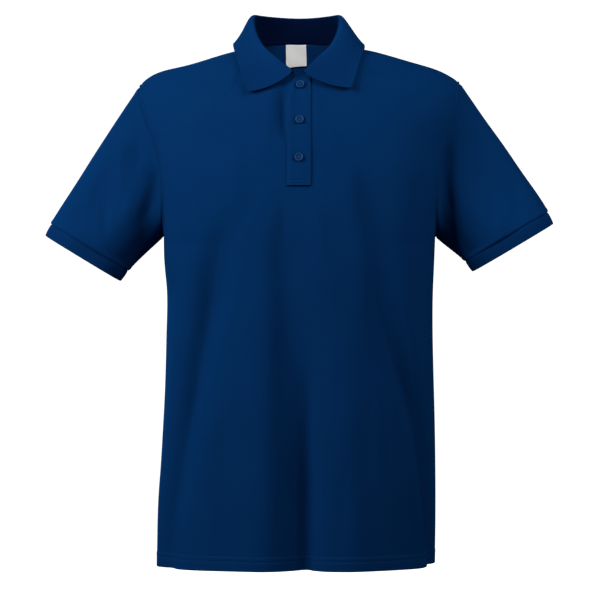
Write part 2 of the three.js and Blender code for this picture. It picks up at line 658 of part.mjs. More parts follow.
function sleeveWall(sleeve) {
  const outer = [];
  const inner = [];
  for (let j = 0; j <= SLEEVE_ROWS; j++) {
    const row = sleeveTurns.map((turn) => sleeveVertex(sleeve, turn, j / SLEEVE_ROWS));
    outer.push(row.map(({ point, shift }) => point.clone().add(shift)));
    inner.push(
      row.map(({ point, through, shift }) => point.addScaledVector(through, -CLOTH_WALL).add(shift))
    );
  }
  return wall(outer, inner, true);
}

// Cuff: a ribbed band that draws the sleeve's end in a little
function cuffWall(sleeve) {
  const { up } = sleeveAxis(sleeve);
  const outer = [];
  const inner = [];
  for (const along of [SEAM_GAP / 2, CUFF.width / 2, CUFF.width]) {
    const scale = (1 - CUFF.narrower / up.length()) * lerp(1, CUFF.taper, along / CUFF.width);
    const drawnIn = scale - RIB_WALL / up.length();
    const ring = (size) =>
      sleeveTurns.map((turn) => sleeveRing(sleeve, radians(turn), along, size));
    outer.push(ring(scale));
    inner.push(ring(drawnIn));
  }
  return wall(outer, inner, true);
}

// Collar: a stand that rises from the neck seam, a rolled fold, and a fall with a point at each
// front end. Its visible face runs up the neck side of the stand and down the outside of the fall.
const collarCurves = {};
for (const key of ['foldX', 'foldY', 'foldZ', 'edgeX', 'edgeY', 'edgeZ'])
  collarCurves[key] = curve(COLLAR, 'turn', key, key.endsWith('X') ? -1 : 1);

function collarLine(name, turn) {
  const size = Math.abs(turn);
  const side = Math.sign(turn || 1);
  const spent = ease(size, COLLAR_LEAN.from, 180) * COLLAR_LEAN.lost;
  const lean = COLLAR_LEAN[name] * ease(size, 0, COLLAR_LEAN.full) * (1 - spent);
  const tip = COLLAR_TIP[hand(side)];
  const atTip = name === 'edge' ? ease(size, COLLAR_SAG.from, COLLAR_END) : 0;
  return at(
    side * (collarCurves[name + 'X'](size) + tip.x * atTip) + lean,
    collarCurves[name + 'Y'](size),
    collarCurves[name + 'Z'](size) + tip.z * atTip
  );
}

// `share` runs from 0 at the neck seam over 1 at the fold to 2 at the free edge
function collarPoint(turn, share) {
  const angle = radians(turn);
  const away = at(Math.sin(angle), Math.cos(angle), 0);
  const seam = neckSeam(turn)
    .addScaledVector(away, -CLOTH_WALL)
    .add(at(0, 0, COLLAR_ABOVE_SEAM));
  const fold = collarLine('fold', turn);
  const edge = collarLine('edge', turn);
  const lying = edge.clone().sub(fold);
  const flat = at(lying.x, lying.y, 0).normalize();
  const rise = fold.clone().sub(seam);
  const roll = flat.lerp(away, COLLAR_ROLL.outward).normalize();
  roll.multiplyScalar(Math.sqrt(COLLAR_ROLL.length * Math.max(rise.length(), COLLAR_ROLL.shortest)));
  lying.add(at(away.x, away.y, 0).multiplyScalar(lying.length() * COLLAR_FLARE));
  const [from, to, leave, arrive, t] =
    share <= 1 ? [seam, fold, rise, roll, share] : [fold, edge, roll, lying, share - 1];
  const t2 = t * t;
  const t3 = t2 * t;
  const hangs = share <= 1 ? 0 : 4 * t * (1 - t) * ease(Math.abs(turn), COLLAR_SAG.from, COLLAR_END);
  return at(0, -COLLAR_SAG.out * hangs, -COLLAR_SAG.down * hangs)
    .addScaledVector(from, 2 * t3 - 3 * t2 + 1)
    .addScaledVector(leave, t3 - 2 * t2 + t)
    .addScaledVector(to, 3 * t2 - 2 * t3)
    .addScaledVector(arrive, t3 - t2);
}

function collarTurns() {
  const turns = [];
  for (let k = 0; k <= COLUMNS_NECK; k++) turns.push((SHOULDER_TURN * k) / COLUMNS_NECK);
  for (let k = 1; k < COLUMNS_NECK; k++)
    turns.push(lerp(SHOULDER_TURN, 180, k / COLUMNS_NECK));
  turns.push(COLLAR_END);
  return [...turns.slice(1).reverse().map((turn) => -turn), ...turns];
}

function collarWall() {
  const outer = [];
  const inner = [];
  const step = 0.02;
  for (const share of COLLAR_SHARES) {
    const outerRow = [];
    const innerRow = [];
    for (const turn of collarTurns()) {
      const point = collarPoint(turn, share);
      const du = collarPoint(Math.min(turn + 1, COLLAR_END), share);
      du.sub(collarPoint(Math.max(turn - 1, -COLLAR_END), share));
      const dv = collarPoint(turn, Math.min(share + step, 2));
      dv.sub(collarPoint(turn, Math.max(share - step, 0)));
      const through = dv.cross(du).normalize();
      outerRow.push(point);
      innerRow.push(point.clone().addScaledVector(through, -RIB_WALL));
    }
    outer.push(outerRow);
    inner.push(innerRow);
  }
  return wall(outer, inner);
}

// A band that lies on the front: its points are the panel's, moved out
function bandOnFront(right, left, bottom, rows, low, thick) {
  const outer = [];
  const inner = [];
  for (let j = 0; j <= rows; j++) {
    const outerRow = [];
    const innerRow = [];
    for (let i = 0; i <= BAND_COLUMNS; i++) {
      const x = lerp(right(j / rows), left, i / BAND_COLUMNS);
      const turn = 180 - THREE.MathUtils.radToDeg(Math.asin(x / NECK.halfWidth));
      const top = neckHeight(turn > 180 ? 360 - turn : turn) - PLACKET.belowNeck;
      const { point, normal } = onPanel(panels.front, x, lerp(bottom, top, j / rows));
      innerRow.push(point.clone().addScaledVector(normal, low));
      outerRow.push(point.addScaledVector(normal, low + thick));
    }
    outer.push(outerRow);
    inner.push(innerRow);
  }
  return wall(outer, inner);
}

// The top band's free edge curves in towards the neck
function freeEdge(share) {
  const z = lerp(PLACKET.bottom, PLACKET.top, share);
  const t = THREE.MathUtils.clamp((z - FREE_EDGE.from) / (FREE_EDGE.to - FREE_EDGE.from), 0, 1);
  return lerp(FREE_EDGE.x, FREE_EDGE.atNeck, t ** FREE_EDGE.bow);
}

// The front is slit from the neck down, so that the head can pass
function slitFront(geometry) {
  const box = new THREE.BoxGeometry(SLIT.halfWidth * 2, SLIT.depth, SLIT.height);
  box.translate(0, SLIT.y, SLIT.bottom + SLIT.height / 2);
  return fromSolid(solid(geometry).subtract(solid(box)));
}

function solid(geometry) {
  const bare = geometry.clone();
  bare.deleteAttribute('normal');
  bare.deleteAttribute('uv');
  const merged = mergeVertices(bare, 1e-4);
  const mesh = new wasm.Mesh({
    numProp: 3,
    vertProperties: merged.attributes.position.array,
    triVerts: new Uint32Array(merged.index.array),
  });
  return new wasm.Manifold(mesh);
}

function fromSolid(made) {
  const mesh = made.getMesh();
  const geometry = new THREE.BufferGeometry();
  geometry.setAttribute('position', new THREE.BufferAttribute(mesh.vertProperties, 3));
  geometry.setIndex(new THREE.BufferAttribute(mesh.triVerts, 1));
  return geometry;
}

// Button: a turned disc with a raised rim, its back on the placket
function buttonGeometry() {
  const profile = BUTTON_PROFILE.map(({ r, h }) => new THREE.Vector2(r, h));
  let disc = solid(new THREE.LatheGeometry(profile, BUTTON.sides).rotateX(Math.PI / 2));
  for (let k = 0; k < THREAD_HOLES.count; k++) {
    const hole = new THREE.CylinderGeometry(
      THREAD_HOLES.radius,
      THREAD_HOLES.radius,
      BUTTON.thick * 3,
      THREAD_HOLES.sides
    );
    hole.rotateX(Math.PI / 2).translate(THREAD_HOLES.fromMiddle, 0, 0);
    hole.rotateZ((2 * Math.PI * (k + 0.5)) / THREAD_HOLES.count);
    disc = disc.subtract(solid(hole));
  }
  return fromSolid(disc);
}

// Where a button sits on the top band: on the plane of four points under its rim, and clear of
// the band's middle where that bulges
function buttonSeat({ x, z }) {
  const r = BUTTON.radius;
  const onBand = (dx, dz) => {
    const { point, normal } = onPanel(panels.front, x + dx, z + dz);
    return point.addScaledVector(normal, SEAM_GAP + PLACKET.wall);
  };
  const rim = [onBand(r, 0), onBand(0, r), onBand(-r, 0), onBand(0, -r)];
  const normal = rim[0].clone().sub(rim[2]).cross(rim[1].clone().sub(rim[3])).normalize();
  const point = rim.reduce((sum, p) => sum.add(p), at(0, 0, 0)).multiplyScalar(1 / 4);
  const highest = Math.max(...[...rim, onBand(0, 0)].map((p) => p.sub(point).dot(normal)));
  return { point: point.addScaledVector(normal, highest + SEAM_GAP), normal };
}

function labelWall() {
  const outer = [];
  const inner = [];
  const rows = 5;
  const columns = 4;
  const low = -CLOTH_WALL - LABEL.clear;
  for (let j = 0; j <= rows; j++) {
    const outerRow = [];
    const innerRow = [];
    for (let i = 0; i <= columns; i++) {
      const across = lerp(-1, 1, i / columns);
      const x = LABEL.x + LABEL.halfWidth * across;
      const bottom = LABEL.bottom + LABEL.tilt * across;
      const { point, normal } = onPanel(panels.back, x, lerp(bottom, LABEL.top, j / rows));
      outerRow.push(point.clone().addScaledVector(normal, low));
      innerRow.push(point.addScaledVector(normal, low - LABEL.wall));
    }
    outer.push(outerRow);
    inner.push(innerRow);
  }
  return wall(outer, inner);
}

const pique = new THREE.MeshStandardMaterial({ color: 0x0c2f5c, roughness: 0.85, side: 2 });
const rib = new THREE.MeshStandardMaterial({ color: 0x0d3260, roughness: 0.85, side: 2 });
const buttonPlastic = new THREE.MeshStandardMaterial({ color: 0x1c4a80, roughness: 0.35 });
const labelWeave = new THREE.MeshStandardMaterial({ color: 0xf1efef, roughness: 0.7 });

const shirt = new THREE.Group();
function add(name, geometry, material) {
  geometry.computeVertexNormals();
  const mesh = new THREE.Mesh(geometry, material);
  mesh.name = name;
  shirt.add(mesh);
  return mesh;
}

add('front', slitFront(panelWall(panels.front)), pique);
add('back', panelWall(panels.back), pique);
for (const [name, sleeve] of Object.entries(SLEEVES)) {
  add('sleeve_' + name, sleeveWall(sleeve), pique);
  add('cuff_' + name, cuffWall(sleeve), rib);
}
add('collar', collarWall(), rib);
add(
  'placket_top',
  bandOnFront(freeEdge, PLACKET.left, PLACKET.bottom, TOP_BAND_ROWS, SEAM_GAP, PLACKET.wall),
  pique
);
add(
  'placket_under',
  bandOnFront(
    () => -UNDER_PLACKET.halfWidth,
    UNDER_PLACKET.halfWidth,
    UNDER_PLACKET.bottom,
    UNDER_BAND_ROWS,
    -CLOTH_WALL - 2 * SEAM_GAP - UNDER_PLACKET.wall,
    UNDER_PLACKET.wall
  ),
  pique
);
BUTTONS.forEach((place, k) => {
  const { point, normal } = buttonSeat(place);
  const mesh = add('button_' + (k + 1), buttonGeometry(), buttonPlastic);
  mesh.position.copy(point);
  mesh.quaternion.setFromUnitVectors(at(0, 0, 1), normal);
});
add('label', labelWall(), labelWeave);

export default shirt;
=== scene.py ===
import math

import bpy
import numpy as np
from mathutils import Matrix, Vector


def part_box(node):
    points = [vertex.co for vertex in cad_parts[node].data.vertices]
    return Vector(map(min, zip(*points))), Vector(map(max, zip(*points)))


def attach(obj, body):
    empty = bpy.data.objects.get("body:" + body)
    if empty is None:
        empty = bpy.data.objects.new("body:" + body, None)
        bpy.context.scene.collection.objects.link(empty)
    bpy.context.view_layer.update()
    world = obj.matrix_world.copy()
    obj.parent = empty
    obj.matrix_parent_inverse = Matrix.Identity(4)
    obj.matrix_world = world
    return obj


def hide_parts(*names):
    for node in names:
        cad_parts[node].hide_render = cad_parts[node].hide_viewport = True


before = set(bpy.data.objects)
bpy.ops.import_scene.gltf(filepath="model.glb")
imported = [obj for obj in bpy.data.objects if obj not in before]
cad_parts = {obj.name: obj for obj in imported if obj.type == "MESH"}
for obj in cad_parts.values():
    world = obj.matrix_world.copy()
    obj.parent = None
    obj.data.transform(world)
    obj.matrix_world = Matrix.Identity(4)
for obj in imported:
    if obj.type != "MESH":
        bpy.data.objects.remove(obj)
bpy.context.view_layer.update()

# Front and back: two panels of navy pique knit, sewn together at the sides and the shoulders.
# They hang from the shoulders in long soft folds. The front is slit from the neck for the
# placket, and both are turned up 20 mm at the hem. Sizes are in millimetres, as in a pattern.
MM = 0.001
CLOTH = 1.3
HEM_Z = -711
HEM_TILT = 1.6
HEM_TURN = 20
ARMPIT_Z = -262
TIP_RIGHT_Z = -56
TIP_LEFT_Z = -51
ARMPIT_V = 0.6
YOKE_V = 0.86
BOXY = 0.16
ARMHOLE_FRONT = 53
ARMHOLE_BACK = 56
ARMHOLE_LOWER = 14
SEAM_FORWARD = 4.8
SEAM_PITCH = 0.2
SHOULDER_ROUND = 1.65
NECK_HALF_WIDTH = 63
NECK_BACK = 58
NECK_FRONT = 70
SHOULDER_TURN = 99
NECK_SHARE = 0.385
CORNER_ROUND = 0.3
CORNER_WEIGHTS = [1, 2, 3, 2, 1]


def table(names, *rows):
    """A short table, as a dictionary of its named columns."""
    return dict(zip(names.split(), np.array(rows, float).T))


SIDES = table(
    "z right left",
    (-711, 193, 186.5),
    (-620, 192, 187),
    (-500, 186, 185.5),
    (-380, 182.2, 183),
    (-330, 182.3, 183.4),
    (-300, 185, 184.5),
    (-262, 186.5, 186.5),
)
FRONT_MIDDLE = table(
    "v z y sweep",
    (0, -711, -122, 90),
    (0.15, -603, -123, 90),
    (0.3, -495, -124.5, 90),
    (0.45, -386.5, -127, 90),
    (0.6, -278, -128, 90),
    (0.7, -211, -122, 76),
    (0.8, -150, -109, 66),
    (0.86, -112, -98, 62),
)
BACK_MIDDLE = table(
    "v z y sweep",
    (0, -711, 105, 90),
    (0.15, -603, 103, 90),
    (0.3, -494, 102, 90),
    (0.45, -385, 107, 90),
    (0.6, -275, 115, 90),
    (0.7, -203, 118, 76),
    (0.8, -136, 113, 66),
    (0.86, -94, 104, 62),
)
ARMHOLE = table(
    "up front back",
    (-1, 186.5, 186.5),
    (-0.6, 186, 191),
    (-0.25, 187.5, 197),
    (0, 190.5, 202),
    (0.25, 197, 208),
    (0.67, 214, 217),
    (1, 221, 221),
)
SHOULDER = table(
    "along x right left",
    (0, 63, 1, 4),
    (0.2, 95, -8, -4),
    (0.4, 127, -18.5, -14),
    (0.6, 160, -28, -24),
    (0.8, 194, -36, -34.5),
    (0.92, 212, -46, -44),
    (1, 221, -56, -51),
)
NECK_HEIGHT = table("turn z", (0, 9), (45, 5.5), (90, 1), (135, -22), (180, -46.5))

# The long folds. `at` and `hem` are angles round the trunk from the centre front, at the fold's
# top and at the hem; `right` and `left` are its widths to each side in degrees. The front's
# twelve rows were fitted to the photo's shading by a program, the back's seven set one by one.
FOLDS = table(
    "start full last at hem right left out",
    (-198, -365, -1140, -24.4, -66, 7.2, 9.2, -14),
    (-246, -420, -1200, -45, -81, 12, 10, 4.4),
    (-240, -424, -1240, -11.5, -12, 9, 6, 9),
    (-183, -310, -572, -5.2, -3.5, 5.5, 11, -8),
    (-360, -640, -1500, 2.2, 2, 7.6, 4.6, -15),
    (-390, -620, -1500, 2.4, 2.4, 4, 2.8, -8),
    (-330, -540, -1500, 16, 19, 9, 9, 8.5),
    (-138, -250, -465, 28.6, 36, 4.8, 10.8, -10),
    (-291, -450, -1350, 24.6, 76, 6, 8, -12.6),
    (-398, -554, -1196, 35.7, 35.3, 7.8, 6, 2),
    (-462, -624, -1200, 63.7, 69.3, 8.8, 8.8, -3.2),
    (-298, -425, -1196, 50, 55.7, 9, 8.9, 3.2),
    (-260, -520, -1200, 180, 178, 8, 9, -9),
    (-240, -480, -1200, 163, 164, 8, 7, 6),
    (-240, -480, -1200, -163, -165, 7, 8, 6),
    (-230, -460, -1000, 148, 140, 8, 8, -7),
    (-230, -470, -1100, -146, -142, 8, 8, -7),
    (-330, -560, -1200, 130, 121, 9, 9, 5),
    (-330, -560, -1200, -131, -122, 9, 9, 5),
)

# A fold keeps this share of its height at the end of its run, and fades out near the armhole.
FOLD_KEEPS = 0.1
FOLD_FADE = {"start": 0.5, "end": 0.66, "power": 6}

# Smaller creases, each a curve through three points as seen from the front, with its widths to
# the two sides of its run and how far it stands out. They fade at both ends.
CREASE = "x1 z1 x2 z2 x3 z3 one other out"
FRONT_CREASES = table(
    CREASE,
    (-70, -57, -112, -51, -165, -39, 4.5, 10, -6),
    (-84, -38, -122, -38, -160, -33, 5, 6, 1.2),
    (88, -37, 136, -41, 194, -54, 8, 4.5, -7),
    (100, -56, 140, -60, 180, -72, 8, 8, 1.2),
    (-21, -50, -21, -95, -19, -150, 4, 9, -6),
    (11, -194, 11.4, -202, 12, -212, 2, 2, -1.4),
    (-38, -60, -42, -110, -52, -175, 9, 12, 1.3),
    (24, -62, 25, -100, 23, -150, 5, 8, 0.9),
    (40, -70, 60, -120, 66, -190, 10, 10, -1.0),
    (-85, -120, -82, -170, -86, -240, 9, 11, 1.1),
    (-168, -150, -150, -200, -140, -262, 8, 9, -1.4),
    (172, -165, 156, -215, 148, -280, 9, 8, -1.5),
    (-30, -205, -22, -245, -30, -300, 7, 6, -1.2),
    (22, -206, 30, -260, 34, -330, 6, 8, 1.1),
    (120, -330, 138, -420, 142, -500, 9, 9, -2.2),
    (98, -420, 106, -520, 100, -640, 8, 9, 1.6),
    (-120, -380, -128, -470, -122, -560, 9, 8, 1.4),
    (-95, -500, -104, -590, -100, -690, 9, 10, -1.4),
    (60, -560, 58, -620, 62, -690, 8, 8, -1.3),
)
BACK_CREASES = table(
    CREASE,
    (-66, -30, -112, -34, -166, -46, 8, 8, -2.2),
    (70, -28, 118, -36, 172, -44, 8, 8, -2.4),
    (-172, -120, -140, -170, -118, -240, 9, 10, -2.0),
    (174, -118, 138, -165, 122, -236, 10, 9, -2.1),
    (-60, -70, -20, -78, 34, -70, 9, 12, -1.2),
    (-40, -150, -46, -220, -36, -300, 10, 10, -1.6),
    (62, -160, 66, -230, 60, -310, 10, 10, 1.5),
    (-176, -250, -150, -285, -110, -305, 7, 8, -2.0),
    (177, -252, 146, -284, 104, -302, 8, 7, -1.9),
    (110, -330, 122, -430, 116, -540, 9, 9, -1.8),
    (-112, -350, -120, -440, -126, -530, 9, 9, 1.6),
    (30, -480, 34, -570, 26, -680, 8, 9, 1.4),
    (-64, -500, -58, -590, -66, -690, 9, 8, -1.5),
)


def ease(value, start, end):
    """0 at the start, 1 at the end, and smooth between them."""
    t = np.clip((value - start) / (end - start), 0, 1)
    return t * t * (3 - 2 * t)


def bell(value, width):
    """1 at zero, and almost 0 from twice the width on, to both sides."""
    return np.exp(-((value / width) ** 2))


def lerp(a, b, t):
    return a + (b - a) * t


def vec(x, y, z):
    """Points from their coordinates, spread over the same grid."""
    return np.stack(np.broadcast_arrays(x, y, z), -1).astype(float)


def unit(vectors):
    return vectors / np.maximum(np.linalg.norm(vectors, axis=-1, keepdims=True), 1e-12)


def spline(columns, along, out, mirror=0):
    """A natural cubic spline through a table's columns. With mirror 1 or -1 it also runs to the
    other side of zero, even or odd."""
    x = columns[along]
    y = columns[out]
    if mirror:
        x = np.concatenate([-x[:0:-1], x])
        y = np.concatenate([mirror * y[:0:-1], y])
    gap = np.diff(x)
    slope = np.diff(y) / gap
    last = len(x) - 1
    system = np.eye(last + 1)
    bend = np.zeros(last + 1)
    for k in range(1, last):
        system[k, k - 1 : k + 2] = gap[k - 1], 2 * (gap[k - 1] + gap[k]), gap[k]
        bend[k] = 6 * (slope[k] - slope[k - 1])
    bend = np.linalg.solve(system, bend)

    def value_at(value):
        k = np.clip(np.searchsorted(x, value) - 1, 0, last - 1)
        b = np.clip((value - x[k]) / gap[k], 0, 1)
        a = 1 - b
        cubic = (a**3 - a) * bend[k] + (b**3 - b) * bend[k + 1]
        return a * y[k] + b * y[k + 1] + cubic * gap[k] ** 2 / 6

    return value_at


def by_side(side, right, left):
    """The right value where side is negative, on the wearer's right, and else the left one."""
    return np.where(np.asarray(side) < 0, right, left)


neck_height = spline(NECK_HEIGHT, "turn", "z", 1)
armhole_front = spline(ARMHOLE, "up", "front")
armhole_back = spline(ARMHOLE, "up", "back")
shoulder_x = spline(SHOULDER, "along", "x")
shoulder_right = spline(SHOULDER, "along", "right")
shoulder_left = spline(SHOULDER, "along", "left")
side_right = spline(SIDES, "z", "right")
side_left = spline(SIDES, "z", "left")


def neck_seam(turn):
    """The neck seam by the turn round it, 0 at the centre back and 180 at the centre front."""
    angle = np.radians(turn)
    depth = np.where(np.abs(turn) < 90, NECK_BACK, NECK_FRONT)
    height = neck_height(np.abs(turn))
    return vec(NECK_HALF_WIDTH * np.sin(angle), depth * np.cos(angle), height)


def armhole(angle, face, side):
    """The armhole's seam. The angle is 0 at the shoulder tip, and face is -1 on the front."""
    up = np.cos(angle)
    front = np.asarray(face) < 0
    x = np.where(front, armhole_front(up), armhole_back(up))
    depth = np.where(front, ARMHOLE_FRONT, ARMHOLE_BACK) - ARMHOLE_LOWER * up
    z = lerp(ARMPIT_Z, by_side(side, TIP_RIGHT_Z, TIP_LEFT_Z), (1 + up) / 2)
    return vec(side * x, face * np.sin(angle) * depth, z)


def top_edge(face, u):
    """Half of the neck seam, then the shoulder seam."""
    side = np.where(u < 0, -1, 1)
    size = np.abs(u)
    along = np.clip((size - NECK_SHARE) / (1 - NECK_SHARE), 0, 1)
    start = 180 if face < 0 else 0
    neck = neck_seam(side * lerp(start, SHOULDER_TURN, np.minimum(size / NECK_SHARE, 1)))
    inner = neck_seam(side * SHOULDER_TURN)
    seam_z = by_side(side, shoulder_right(along), shoulder_left(along))
    first_z = by_side(side, shoulder_right(0), shoulder_left(0))
    x = shoulder_x(along) + (inner[..., 0] * side - NECK_HALF_WIDTH) * (1 - along)
    y = inner[..., 1] * (1 - along) - SEAM_FORWARD * np.sin(np.pi * along)
    z = seam_z + (inner[..., 2] - first_z) * (1 - along) ** 4
    return np.where((size <= NECK_SHARE)[..., None], neck, vec(side * x, y, z))


def across(angle):
    """How far to the side a panel's row lies at an angle: a circle's share, made a little boxy."""
    return np.sin(angle) * (1 + BOXY * np.cos(angle) ** 2)


def forward(angle):
    """How far to the front or back it lies at that angle."""
    return np.cos(angle) * (1 + BOXY * np.sin(angle) ** 2)


AT_TRIES = 14
AT_STEP = {"u": 290, "v": 900}


class Panel:
    """The front or the back, as a surface of u across, from -1 to 1, and v up, from 0 to 1."""

    def __init__(self, face, middle):
        self.face = face
        self.z = spline(middle, "v", "z")
        self.y = spline(middle, "v", "y")
        self.sweep = spline(middle, "v", "sweep")

    def edge(self, side, v):
        """The side seam up to the armpit, and the armhole above it."""
        angle = np.pi * (1 - (np.maximum(v, ARMPIT_V) - ARMPIT_V) / (1 - ARMPIT_V))
        z = lerp(HEM_Z + side * HEM_TILT, ARMPIT_Z, np.minimum(v / ARMPIT_V, 1))
        seam = vec(side * by_side(side, side_right(z), side_left(z)), 0, z)
        return np.where((v >= ARMPIT_V)[..., None], armhole(angle, self.face, side), seam)

    def row(self, u, v):
        """A row of the panel up to the yoke, bent round from its middle to both edges."""
        end = self.edge(np.where(u < 0, -1, 1), v)
        sweep = np.radians(self.sweep(v))
        turn = np.abs(u) * sweep
        x = end[..., 0] * across(turn) / across(sweep)
        back = (1 - forward(turn)) / (1 - forward(sweep))
        return vec(x, lerp(self.y(v), end[..., 1], back), lerp(self.z(v), end[..., 2], u * u))

    def top(self, u, v):
        """From the yoke over the shoulder to the top edge, whose corner fades out below it."""
        t = ((v - YOKE_V) / (1 - YOKE_V))[..., None]
        step = 1e-3
        yoke = np.full_like(v, YOKE_V)
        start = self.row(u, yoke)
        rise = (start - self.row(u, yoke - step)) * (1 - YOKE_V) / step
        reach = np.minimum(CORNER_ROUND * (1 - t[..., 0]), 1 - np.abs(u))
        end = 0
        for k, weight in enumerate(CORNER_WEIGHTS):
            share = weight / sum(CORNER_WEIGHTS)
            end = end + top_edge(self.face, u + reach * (k - 2) / 2) * share
        length = np.linalg.norm(end - start, axis=-1)[..., None]
        drop = SHOULDER_ROUND * np.abs(start[..., 1:2] - end[..., 1:2])
        over_shoulder = vec(0, -self.face, -self.face * SEAM_PITCH) * drop
        up_neck = vec(0, -self.face * 0.42, 0.9) * length
        arrive = lerp(up_neck, over_shoulder, ease(np.abs(u), 0, NECK_SHARE)[..., None])
        a = (1 - t) ** 3
        b = 3 * t * (1 - t) ** 2
        c = 3 * t * t * (1 - t)
        return start * (a + b) + rise * b / 3 + end * (c + t**3) - arrive * c / 3

    def form(self, u, v):
        """The smooth form, before the folds."""
        u, v = np.broadcast_arrays(np.asarray(u, float), np.asarray(v, float))
        low = self.row(u, np.minimum(v, YOKE_V))
        high_v = np.maximum(v, YOKE_V)
        side = np.where(u < 0, -1.0, 1.0)
        off = self.edge(side, high_v) - self.top(side, high_v)
        high = self.top(u, high_v) + off * (np.abs(u) ** 6)[..., None]
        return np.where((v <= YOKE_V)[..., None], low, high)

    def outward(self, u):
        """Roughly away from the middle of the trunk."""
        return vec(np.sin(u * np.pi / 2), self.face * np.cos(u * np.pi / 2), 0.3)

    def normal(self, u, v, surface):
        step = 1e-3
        du = surface(np.minimum(u + step, 1), v) - surface(np.maximum(u - step, -1), v)
        dv = surface(u, np.minimum(v + step, 1)) - surface(u, np.maximum(v - step, 0))
        normal = unit(np.cross(du, dv))
        return normal * np.sign((normal * self.outward(u)).sum(-1, keepdims=True))

    def point(self, u, v):
        """The form with its long folds, which fade out towards the armhole."""
        u, v = np.broadcast_arrays(np.asarray(u, float), np.asarray(v, float))
        form = self.form(u, v)
        turn = u * 90 if self.face < 0 else np.where(u < 0, -1, 1) * (180 - np.abs(u) * 90)
        out = 0
        for start, full, last, at, hem, right, left, height in zip(*FOLDS.values()):
            z = form[..., 2]
            centre = lerp(at, hem, np.clip((start - z) / (start - HEM_Z), 0, 1))
            off = (turn - centre + 540) % 360 - 180
            strength = ease(z, start, full) * (1 - ease(z, full, last) * (1 - FOLD_KEEPS))
            out = out + height * strength * bell(off, np.where(off < 0, right, left))
        near_armhole = ease(v, FOLD_FADE["start"], FOLD_FADE["end"])
        out = out * (1 - near_armhole * np.abs(u) ** FOLD_FADE["power"])
        return form + self.normal(u, v, self.form) * out[..., None]

    def at(self, x, z):
        """The surface's point and normal that lie at x and z as seen from the front."""
        x, z = np.broadcast_arrays(np.asarray(x, float), np.asarray(z, float))
        u = x / side_left(z)
        v = np.clip(ARMPIT_V * (z - HEM_Z) / (ARMPIT_Z - HEM_Z), 0, 1)
        for _ in range(AT_TRIES):
            p = self.point(u, v)
            u = np.clip(u + (x - p[..., 0]) / AT_STEP["u"], -1, 1)
            v = np.clip(v + (z - p[..., 2]) / AT_STEP["v"], 0, 1)
        return self.point(u, v), self.normal(u, v, self.point)


def grid_normals(points, outward, ring=False):
    """The normals of a grid of points, on the side that outward points to."""
    if ring:
        points = np.concatenate([points[:, -1:], points, points[:, :1]], 1)
    normal = unit(np.cross(np.gradient(points, axis=1), np.gradient(points, axis=0)))
    if ring:
        normal = normal[:, 1:-1]
    return normal * np.sign((normal * outward).sum(-1, keepdims=True))


def lengths(points, axis):
    """How far each point of a grid is along it, from its first row or column."""
    steps = np.linalg.norm(np.diff(points, axis=axis), axis=-1)
    first = np.zeros_like(steps[:, :1] if axis else steps[:1])
    return np.concatenate([first, np.cumsum(steps, axis)], axis)


def crease_out(points, normals, face, creases):
    """How far the creases move each point of a grid out, where it looks to the front or back."""
    out = np.zeros(points.shape[:2])
    flat = points[..., [0, 2]]
    t = np.linspace(0, 1, 60)[:, None]
    for x1, z1, x2, z2, x3, z3, one, other, height in zip(*creases.values()):
        bend = 2 * np.array([x2, z2]) - (np.array([x1, z1]) + np.array([x3, z3])) / 2
        path = (1 - t) ** 2 * [x1, z1] + 2 * t * (1 - t) * bend + t * t * [x3, z3]
        run = unit(np.gradient(path, axis=0))
        reach = 3 * max(one, other)
        low = path.min(0) - reach
        high = path.max(0) + reach
        near = ((flat > low) & (flat < high)).all(-1)
        p = flat[near]
        offset = p[:, None] - path[None]
        k = (offset**2).sum(-1).argmin(1)
        off = np.take_along_axis(offset, k[:, None, None], 1)[:, 0]
        beside = run[k, 0] * off[:, 1] - run[k, 1] * off[:, 0]
        beyond = (run[k] * off).sum(-1) * ((k == 0) | (k == len(path) - 1))
        width = np.where(beside > 0, one, other)
        share = k / (len(path) - 1)
        fade = ease(share, -0.05, 0.35) * ease(share, 1.05, 0.6)
        out[near] += height * fade * bell(beside, width) * bell(beyond, 8)
    return out * ease(face * normals[..., 1], 0.0, 0.35)


def unevenness(points, size):
    """Cloth is never quite even: a slow random-looking swell of the surface, in millimetres."""
    x, y, z = points[..., 0], points[..., 1], points[..., 2]
    swell = np.sin(x / 23 + 1.3 * np.sin(z / 61)) * np.sin(z / 47 + 0.8 * np.sin(x / 39))
    swell += 0.6 * np.sin(x / 13 + z / 71 + 2.1) * np.sin(z / 29 - x / 53 + y / 40)
    swell += 0.4 * np.sin(z / 17 - x / 31 + y / 27 + 0.7)
    return swell * size


def linked(name, data):
    """A new object in the scene."""
    made = bpy.data.objects.new(name, data)
    bpy.context.scene.collection.objects.link(made)
    return made


